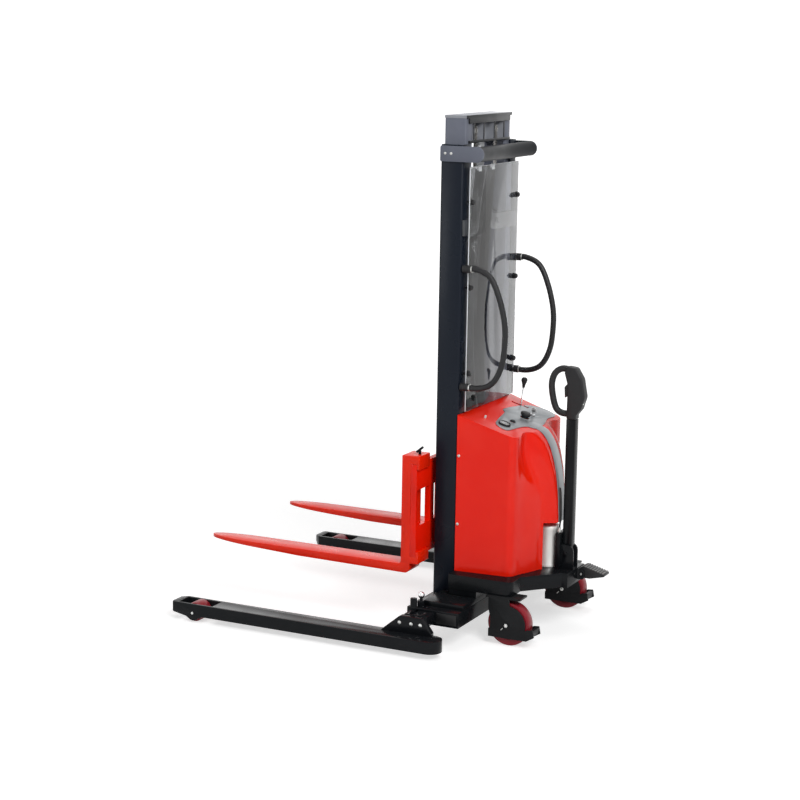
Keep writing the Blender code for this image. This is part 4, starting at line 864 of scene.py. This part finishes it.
fit(bar, "chassis", "blackPlastic", ("grab_handle_left",), 40)
fit(barRight, "chassis", "blackPlastic", ("grab_handle_right",), 40)
fit(collar, "chassis", "blackPlastic")
fit(collarRight, "chassis", "blackPlastic")
print("guard and grab handles made")


# stands a piece on the sloping top, its Z square to the slope
def onTop(piece, control, body, finish, stands=()):
    x, y = topPlaces[control]
    piece.rotation_euler = topTurn
    piece.location = (x, y, slopeZ(y))
    settle(piece)
    return fit(piece, body, finish, stands)


def knobOf(name, profile, steps=32, closed=False):    # turned about its own Z
    return turned(name, profile, (0, 0, 0), "Z", steps, closed)


gauge = {"radius": 0.026, "height": 0.0115, "foot": 0.0041, "needle": 35, "marks": 9, "markStep": 30}
rim, face = gauge["radius"], gauge["height"] - 0.003
bezel = knobOf("gaugeBezel", [(0, gauge["foot"]), (rim, gauge["foot"]), (rim, gauge["height"] - 0.002),
                              (rim - 0.0015, gauge["height"]), (rim - 0.0045, gauge["height"]),
                              (rim - 0.006, face), (0, face)], 48)
onTop(bezel, "gauge", "chassis", "blackPlastic", ("battery_gauge",))
needleZ = gauge["height"] - 0.0024
needle = plate("needle", [(-0.0007, -0.004, needleZ), (0.0007, -0.004, needleZ), (0.0002, 0.0145, needleZ),
                          (-0.0002, 0.0145, needleZ)], (0, 0, 0.0005))
needle.rotation_euler = (0, 0, radians(gauge["needle"]))
marks = [settle(needle)]
for step in range(gauge["marks"]):
    mark = block("mark", (-0.0005, 0.0150, face), (0.0005, 0.0182, gauge["height"] - 0.0026))
    mark.rotation_euler = (0, 0, radians(-120 + gauge["markStep"] * step))
    marks.append(settle(mark))
onTop(joinAll(marks, "gaugeMarks"), "gauge", "chassis", "dial")
glass = knobOf("gaugeGlass", [(0, gauge["height"] - 0.0018), (rim - 0.0048, gauge["height"] - 0.0018),
                              (rim - 0.0048, gauge["height"] - 0.0010), (0, gauge["height"] - 0.0004)], 40)
onTop(glass, "gauge", "chassis", "clearSheet")

stopCap = knobOf("stopButton", [(0, 0.0042), (0.0150, 0.0042), (0.0150, 0.0120), (0.0205, 0.0135),
                                (0.0215, 0.0165), (0.0215, 0.0215), (0.0195, 0.0250), (0.0120, 0.0266),
                                (0, 0.0268)], 40)
onTop(stopCap, "stop", "stop_button", "blackPlastic", ("stop_button",))
pressCap = knobOf("pushButton", [(0, 0.0042), (0.0090, 0.0042), (0.0090, 0.0085), (0.0080, 0.0098), (0, 0.0102)])
onTop(pressCap, "push", "push_button", "blackPlastic", ("push_button",))
pressRing = knobOf("pushButtonRing", [(0.0095, 0.0038), (0.0125, 0.0038), (0.0125, 0.0056), (0.0112, 0.0066),
                                      (0.0095, 0.0066)], closed=True)
onTop(pressRing, "push", "chassis", "blackPlastic")
keyBarrel = knobOf("keyBarrel", [(0, 0.0042), (0.0110, 0.0042), (0.0110, 0.0080), (0.0100, 0.0092),
                                 (0.0060, 0.0092), (0.0060, 0.0110), (0, 0.0110)])
onTop(keyBarrel, "key", "key_switch", "chrome", ("key_switch",))
bowHalf = [(-0.35, 0.0095), (-0.35, 0.017), (-1, 0.020), (-1, 0.032), (-0.6, 0.036)]
bowOutline = bowHalf + [(-across, up) for across, up in reversed(bowHalf)]
bow = plate("keyBow", [(0.0015, across * 0.0095, up) for across, up in bowOutline], (-0.003, 0, 0), 0.0007)
onTop(bow, "key", "key_switch", "steel")

lever = {"x": 0.180, "pivot": (-0.180, 0.842), "top": (-0.196, 0.968), "toward": (-0.200, 1.004)}
rodLow, rodTop, beyond = ((lever["x"], *lever[key]) for key in ("pivot", "top", "toward"))
stick = rod("leverRod", rodLow, rodTop, 0.0032, 16, edge=0.0006)
grip = knobOf("leverKnob", [(0, -0.004), (0.0050, -0.004), (0.0058, 0.0), (0.0072, 0.010), (0.0110, 0.020),
                            (0.0132, 0.028), (0.0125, 0.035), (0.0085, 0.0395), (0, 0.041)], 28)
grip.rotation_euler = aim((Vector(beyond) - Vector(rodTop)).normalized())
grip.location = rodTop
settle(grip)
fit(stick, "lift_lever", "chrome", ("lift_lever",))
fit(grip, "lift_lever", "blackPlastic")
print("controls made")

# tiller head: (y, z, corner radius) round the body, (y, z) along the loop
tillerHead = {"half": 0.022, "loopRadius": 0.0135,
              "body": [(-0.4695, 0.8903, 0), (-0.4710, 1.030, 0.03), (-0.4560, 1.080, 0.02),
                       (-0.4620, 1.108, 0.010), (-0.5050, 1.104, 0.018), (-0.5330, 1.060, 0.03),
                       (-0.5470, 0.985, 0.03), (-0.5320, 0.935, 0.015), (-0.5110, 0.908, 0.006),
                       (-0.5110, 0.8903, 0)],
              "loop": [(-0.486, 0.911), (-0.445, 0.9115), (-0.418, 0.928), (-0.402, 0.975), (-0.3955, 1.030),
                       (-0.408, 1.072), (-0.437, 1.094), (-0.475, 1.094)],
              "thumb": [(-0.452, 1.020), (-0.470, 1.040), (-0.474, 1.015), (-0.470, 0.985), (-0.455, 0.975)],
              "thumbHalf": 0.006}
headBody = plate("tillerHeadBody", [(-tillerHead["half"], y, z) for y, z in roundCorners(tillerHead["body"])],
                 (2 * tillerHead["half"], 0, 0), 0.006, 4)
fit(headBody, "tiller", "blackPlastic", ("tiller_head",), 40)
loop = tube("tillerLoop", smoothPath([(0, y, z) for y, z in tillerHead["loop"]], 8), tillerHead["loopRadius"], 5)
fit(loop, "tiller", "gripRubber", (), 50)
screws = screwSet("tillerScrews", [((x, -0.5385, 0.958), (0, -1, 0.18)) for x in (-0.011, 0.011)], 0.0035)
fit(screws, "tiller", "zinc")
thumb = plate("thumbLever", [(-tillerHead["thumbHalf"], y, z) for y, z in tillerHead["thumb"]],
              (2 * tillerHead["thumbHalf"], 0, 0), 0.002)
fit(thumb, "tiller", "blackPlastic")

cable = {"x": -0.032, "radius": 0.0036, "knots": [(-0.4580, 0.606), (-0.4614, 0.585), (-0.4642, 0.540),
                                                  (-0.4648, 0.480), (-0.4612, 0.445), (-0.4590, 0.4155)]}
wire = tube("controlCable", smoothPath([(cable["x"], y, z) for y, z in cable["knots"]], 7), cable["radius"], 4)
fit(wire, "chassis", "gripRubber", ("control_cable",), 50)
ferrules = [rod("ferrule", (cable["x"], -0.4590, 0.4155), (cable["x"], -0.4606, 0.4380), 0.0054, 20, edge=0.0008),
            rod("nut", (cable["x"], -0.4592, 0.4205), (cable["x"], -0.4597, 0.4275), 0.0078, 6, edge=0.0006)]
fit(joinAll(ferrules, "cableFittings"), "chassis", "zinc")

pedal = {"x": 0.054, "half": 0.031, "ribs": 8, "ribRadius": 0.0036, "pinHalf": 0.043,
         "rear": (-0.642, 0.246), "front": (-0.548, 0.272), "pin": (-0.543, 0.240)}
padSide = [(-0.5290, 0.232), (-0.5290, 0.262), pedal["front"], pedal["rear"], (-0.640, 0.237), (-0.578, 0.222),
           (-0.545, 0.222)]
pad = plate("brakePedalPad", [(pedal["x"] - pedal["half"], y, z) for y, z in padSide],
            (2 * pedal["half"], 0, 0), 0.0015)
ribs = []
for step in range(pedal["ribs"]):
    t = 0.10 + 0.80 * step / (pedal["ribs"] - 1)
    y, z = pedal["front"][0] - 0.094 * t, pedal["front"][1] - 0.026 * t
    ribs.append(rod("rib", (pedal["x"] - pedal["half"] + 0.002, y, z), (pedal["x"] + pedal["half"] - 0.002, y, z),
                    pedal["ribRadius"], 12, edge=0.0004))
fit(pad, "brake_pedal", "gripRubber", ("brake_pedal",))
fit(joinAll(ribs, "brakePedalRibs"), "brake_pedal", "treadRubber")
pivot = rod("pedalPin", (pedal["x"] - pedal["pinHalf"], *pedal["pin"]),
            (pedal["x"] + pedal["pinHalf"], *pedal["pin"]), 0.0045, 20, edge=0.0008)
fit(pivot, "brake_pedal", "zinc")

motor = {"y": -0.4025, "foot": 0.2643, "top": 0.440, "radius": 0.0440}
can, low, high = motor["radius"], motor["foot"], motor["top"]
canProfile = [(0, low), (can - 0.001, low), (can, low + 0.001), (can, low + 0.010), (can - 0.0012, low + 0.012),
              (can - 0.0012, high - 0.020), (can + 0.0002, high - 0.017), (can + 0.0002, high - 0.009),
              (can - 0.0008, high - 0.005), (can - 0.0035, high - 0.0015), (can - 0.009, high), (0.015, high),
              (0.013, high - 0.002), (0, high - 0.002)]
fit(turned("motorCan", canProfile, (0, motor["y"], 0), "Z", 56, False), "chassis", "motorCan",
    ("pump_motor",))

lockPin = {"x": 0.470, "y": -0.045, "ballRadius": 0.014, "ballZ": 0.203}
stemProfile = [(0, 0.137), (0.0045, 0.137), (0.006, 0.140), (0.006, 0.1573), (0.0145, 0.1573), (0.015, 0.159),
               (0.015, 0.180), (0.0135, 0.182), (0.0062, 0.182), (0.0062, 0.192), (0, 0.192)]
ball, ballZ = lockPin["ballRadius"], lockPin["ballZ"]
ballProfile = [(ball * sin(pi * k / 12), ballZ - ball * cos(pi * k / 12)) for k in range(2, 12)]
ballProfile = [(0, 0.189)] + ballProfile + [(0, 0.217)]
for side, word in ((-1, "left"), (1, "right")):
    place = (side * lockPin["x"], lockPin["y"], 0)
    fit(turned("lockPin" + word.title(), stemProfile, place, "Z", 32, False), "leg_lock_" + word, "blackPaint",
        ("leg_lock_" + word,))
    fit(turned("lockBall" + word.title(), ballProfile, place, "Z", 32, False), "leg_lock_" + word, "chrome")
print("tiller, cable, pedal, motor and lock pins made")

# bolts and screws, their places in the mast face's frame
bolts = {"bracketX": 0.600, "bracketY": (-0.012, -0.0635, -0.104), "bracketZ": 0.118, "leg": (0.640, -0.110),
         "cross": (-0.021, 0.057), "crossZ": 1.672, "tieY": (-0.022, -0.048), "tieZ": 1.962,
         "cover": (0.2736, -0.1085), "coverZ": (0.746, 0.462)}
for side, word in ((-1, "left"), (1, "right")):
    leg = "leg_" + word
    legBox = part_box(leg)
    end = legBox[0 if side < 0 else 1][0]
    places = [((side * bolts["bracketX"], y, bolts["bracketZ"]), (side, 0, 0)) for y in bolts["bracketY"]]
    fit(boltSet("bracketBolts" + word.title(), places, 0.0055), leg, "zinc")
    place = (side * bolts["leg"][0], bolts["leg"][1], legBox[1][2])
    fit(boltSet("legBolt" + word.title(), [(place, (0, 0, 1))], 0.0090), leg, "blackPaint")
    place = (end - side * 0.0036, loadRoller["y"], loadRoller["z"])    # sunk in the leg's side
    fit(boltSet("rollerBolt" + word.title(), [(place, (side, 0, 0))], 0.0060, False), leg, "zinc")
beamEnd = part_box("cross_beam")[1][0]
cap = block("cap", (beamEnd - 0.0034, -0.2155, 0.1042), (beamEnd - 0.0002, -0.1285, 0.1478), 0.0006)
fit(joinAll([cap, mirrorOf(cap, "cap")], "beamCaps"), "chassis", "blackPlastic")
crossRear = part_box("mast_cross_upper")[0][1] - mastFace
places = [((x, crossRear, bolts["crossZ"]), (0, -1, 0)) for x in bolts["cross"]]
fit(boltSet("crossmemberBolts", places, 0.0085), "chassis", "blackPaint")
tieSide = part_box("mast_tie")[1][0]
places = [((side * tieSide, y, bolts["tieZ"]), (side, 0, 0)) for side in (-1, 1) for y in bolts["tieY"]]
fit(screwSet("tieScrews", places, 0.0055), "chassis", "zinc")
peg = knobOf("coverPeg", [(0, -0.002), (0.0045, -0.002), (0.0045, 0.010), (0.0035, 0.012), (0, 0.0125)], 20)
onTop(peg, "peg", "chassis", "zinc")
screwX, screwY = bolts["cover"]
places = [((side * screwX, screwY, z), (side, 0, 0)) for side in (-1, 1) for z in bolts["coverZ"]]
fit(screwSet("coverScrews", places, 0.006), "chassis", "zinc")
print("bolts made")

# studio: a pale floor that keeps the shadow, a white surround and three soft lights
studio = {"floorSize": 120, "floorColour": 0.62, "floorGlow": 0.62, "wallColour": 0.86, "wallGlow": 1.0,
          "wallSize": 30, "wallDistance": 9, "wallHeight": 4.0, "world": 0.15, "key": 280, "fill": 55, "top": 85}
view = {"place": (-7.4851, -3.3709, 2.4675), "yaw": 26.090, "pitch": 10.700, "roll": -0.892, "lens": 89.88}


def seenRays(tree):    # above zero for what the camera sees, straight or through glass or in a shine
    rays = node(tree, "ShaderNodeLightPath")
    seen = calc(tree, "ADD", rays.outputs["Is Camera Ray"], rays.outputs["Is Glossy Ray"])
    return calc(tree, "ADD", seen, rays.outputs["Is Transmission Ray"])


def stageMaterial(name, colour, glow):    # its glow grows to full white away from the middle
    material = bpy.data.materials.new(name)
    material.use_nodes = True
    tree = material.node_tree
    shader = tree.nodes["Principled BSDF"]
    shader.inputs["Base Color"].default_value = (colour, colour, colour, 1)
    shader.inputs["Roughness"].default_value = 0.85
    shader.inputs["Specular IOR Level"].default_value = 0.15
    shader.inputs["Emission Color"].default_value = (1, 1, 1, 1)
    seen = node(tree, "ShaderNodeClamp")
    tree.links.new(seenRays(tree), seen.inputs["Value"])
    where = node(tree, "ShaderNodeTexCoord")
    away = node(tree, "ShaderNodeVectorMath", operation="LENGTH")
    tree.links.new(where.outputs["Object"], away.inputs[0])
    strength = ramp(tree, away.outputs["Value"], 1.2, 5.0, glow, 1.0)
    glowing = calc(tree, "MULTIPLY", seen.outputs["Result"], strength.outputs["Result"])
    tree.links.new(glowing, shader.inputs["Emission Strength"])
    return material


def stagePlane(name, location, rotation, size, material):
    bpy.ops.mesh.primitive_plane_add(size=size, location=location, rotation=rotation)
    plane = settle(bpy.context.object, name)
    plane.data.materials.append(material)
    return plane


def softLight(name, place, target, size, power):
    lamp = bpy.data.lights.new(name, "AREA")
    lamp.shape = "RECTANGLE"
    lamp.size, lamp.size_y = size
    lamp.energy = power
    holder = bpy.data.objects.new(name, lamp)
    holder.location = place
    holder.rotation_euler = (Vector(target) - Vector(place)).to_track_quat("-Z", "Y").to_euler()
    bpy.context.scene.collection.objects.link(holder)
    return holder


yaw, pitch, roll = (radians(view[key]) for key in ("yaw", "pitch", "roll"))
forward = Vector((cos(yaw) * cos(pitch), sin(yaw) * cos(pitch), -sin(pitch)))
across = Vector((sin(yaw), -cos(yaw), 0))
upward = across.cross(forward)
right = cos(roll) * across - sin(roll) * upward
up = cos(roll) * upward + sin(roll) * across

stagePlane("floor", (0, 0, 0), (0, 0, 0), studio["floorSize"],
           stageMaterial("paleFloor", studio["floorColour"], studio["floorGlow"]))
wallPlace = Vector((forward.x, forward.y, 0)).normalized() * studio["wallDistance"]
stagePlane("backdrop", (wallPlace.x, wallPlace.y, studio["wallHeight"]), (radians(90), 0, yaw + radians(90)),
           studio["wallSize"], stageMaterial("paleWall", studio["wallColour"], studio["wallGlow"]))

world = bpy.data.worlds.new("studioWorld")
bpy.context.scene.world = world
world.use_nodes = True
sky = world.node_tree.nodes["Background"]
skyStrength = ramp(world.node_tree, seenRays(world.node_tree), 0.0, 1.0, studio["world"], 1.0)
world.node_tree.links.new(skyStrength.outputs["Result"], sky.inputs["Strength"])
sky.inputs["Color"].default_value = (1, 1, 1, 1)

softLight("keyLight", (-3.6, -4.2, 4.6), (0, 0, 0.9), (2.6, 2.6), studio["key"])
softLight("fillLight", (-4.5, 3.2, 2.6), (0, 0, 1.0), (2.0, 3.0), studio["fill"])
softLight("topLight", (0.5, 0.2, 5.2), (0, 0, 0.5), (3.5, 3.5), studio["top"])

lens = bpy.data.cameras.new("camera")
lens.lens = view["lens"]
lens.sensor_width = 36
lens.clip_end = 200
lens.dof.use_dof = False
camera = bpy.data.objects.new("camera", lens)
cameraPlace = Vector(view["place"]) + Vector((0, mastFace, 0))
camera.matrix_world = Matrix.Translation(cameraPlace) @ Matrix((right, up, -forward)).transposed().to_4x4()
bpy.context.scene.collection.objects.link(camera)
bpy.context.scene.camera = camera
bpy.context.scene.view_settings.view_transform = "Standard"

print("studio set")
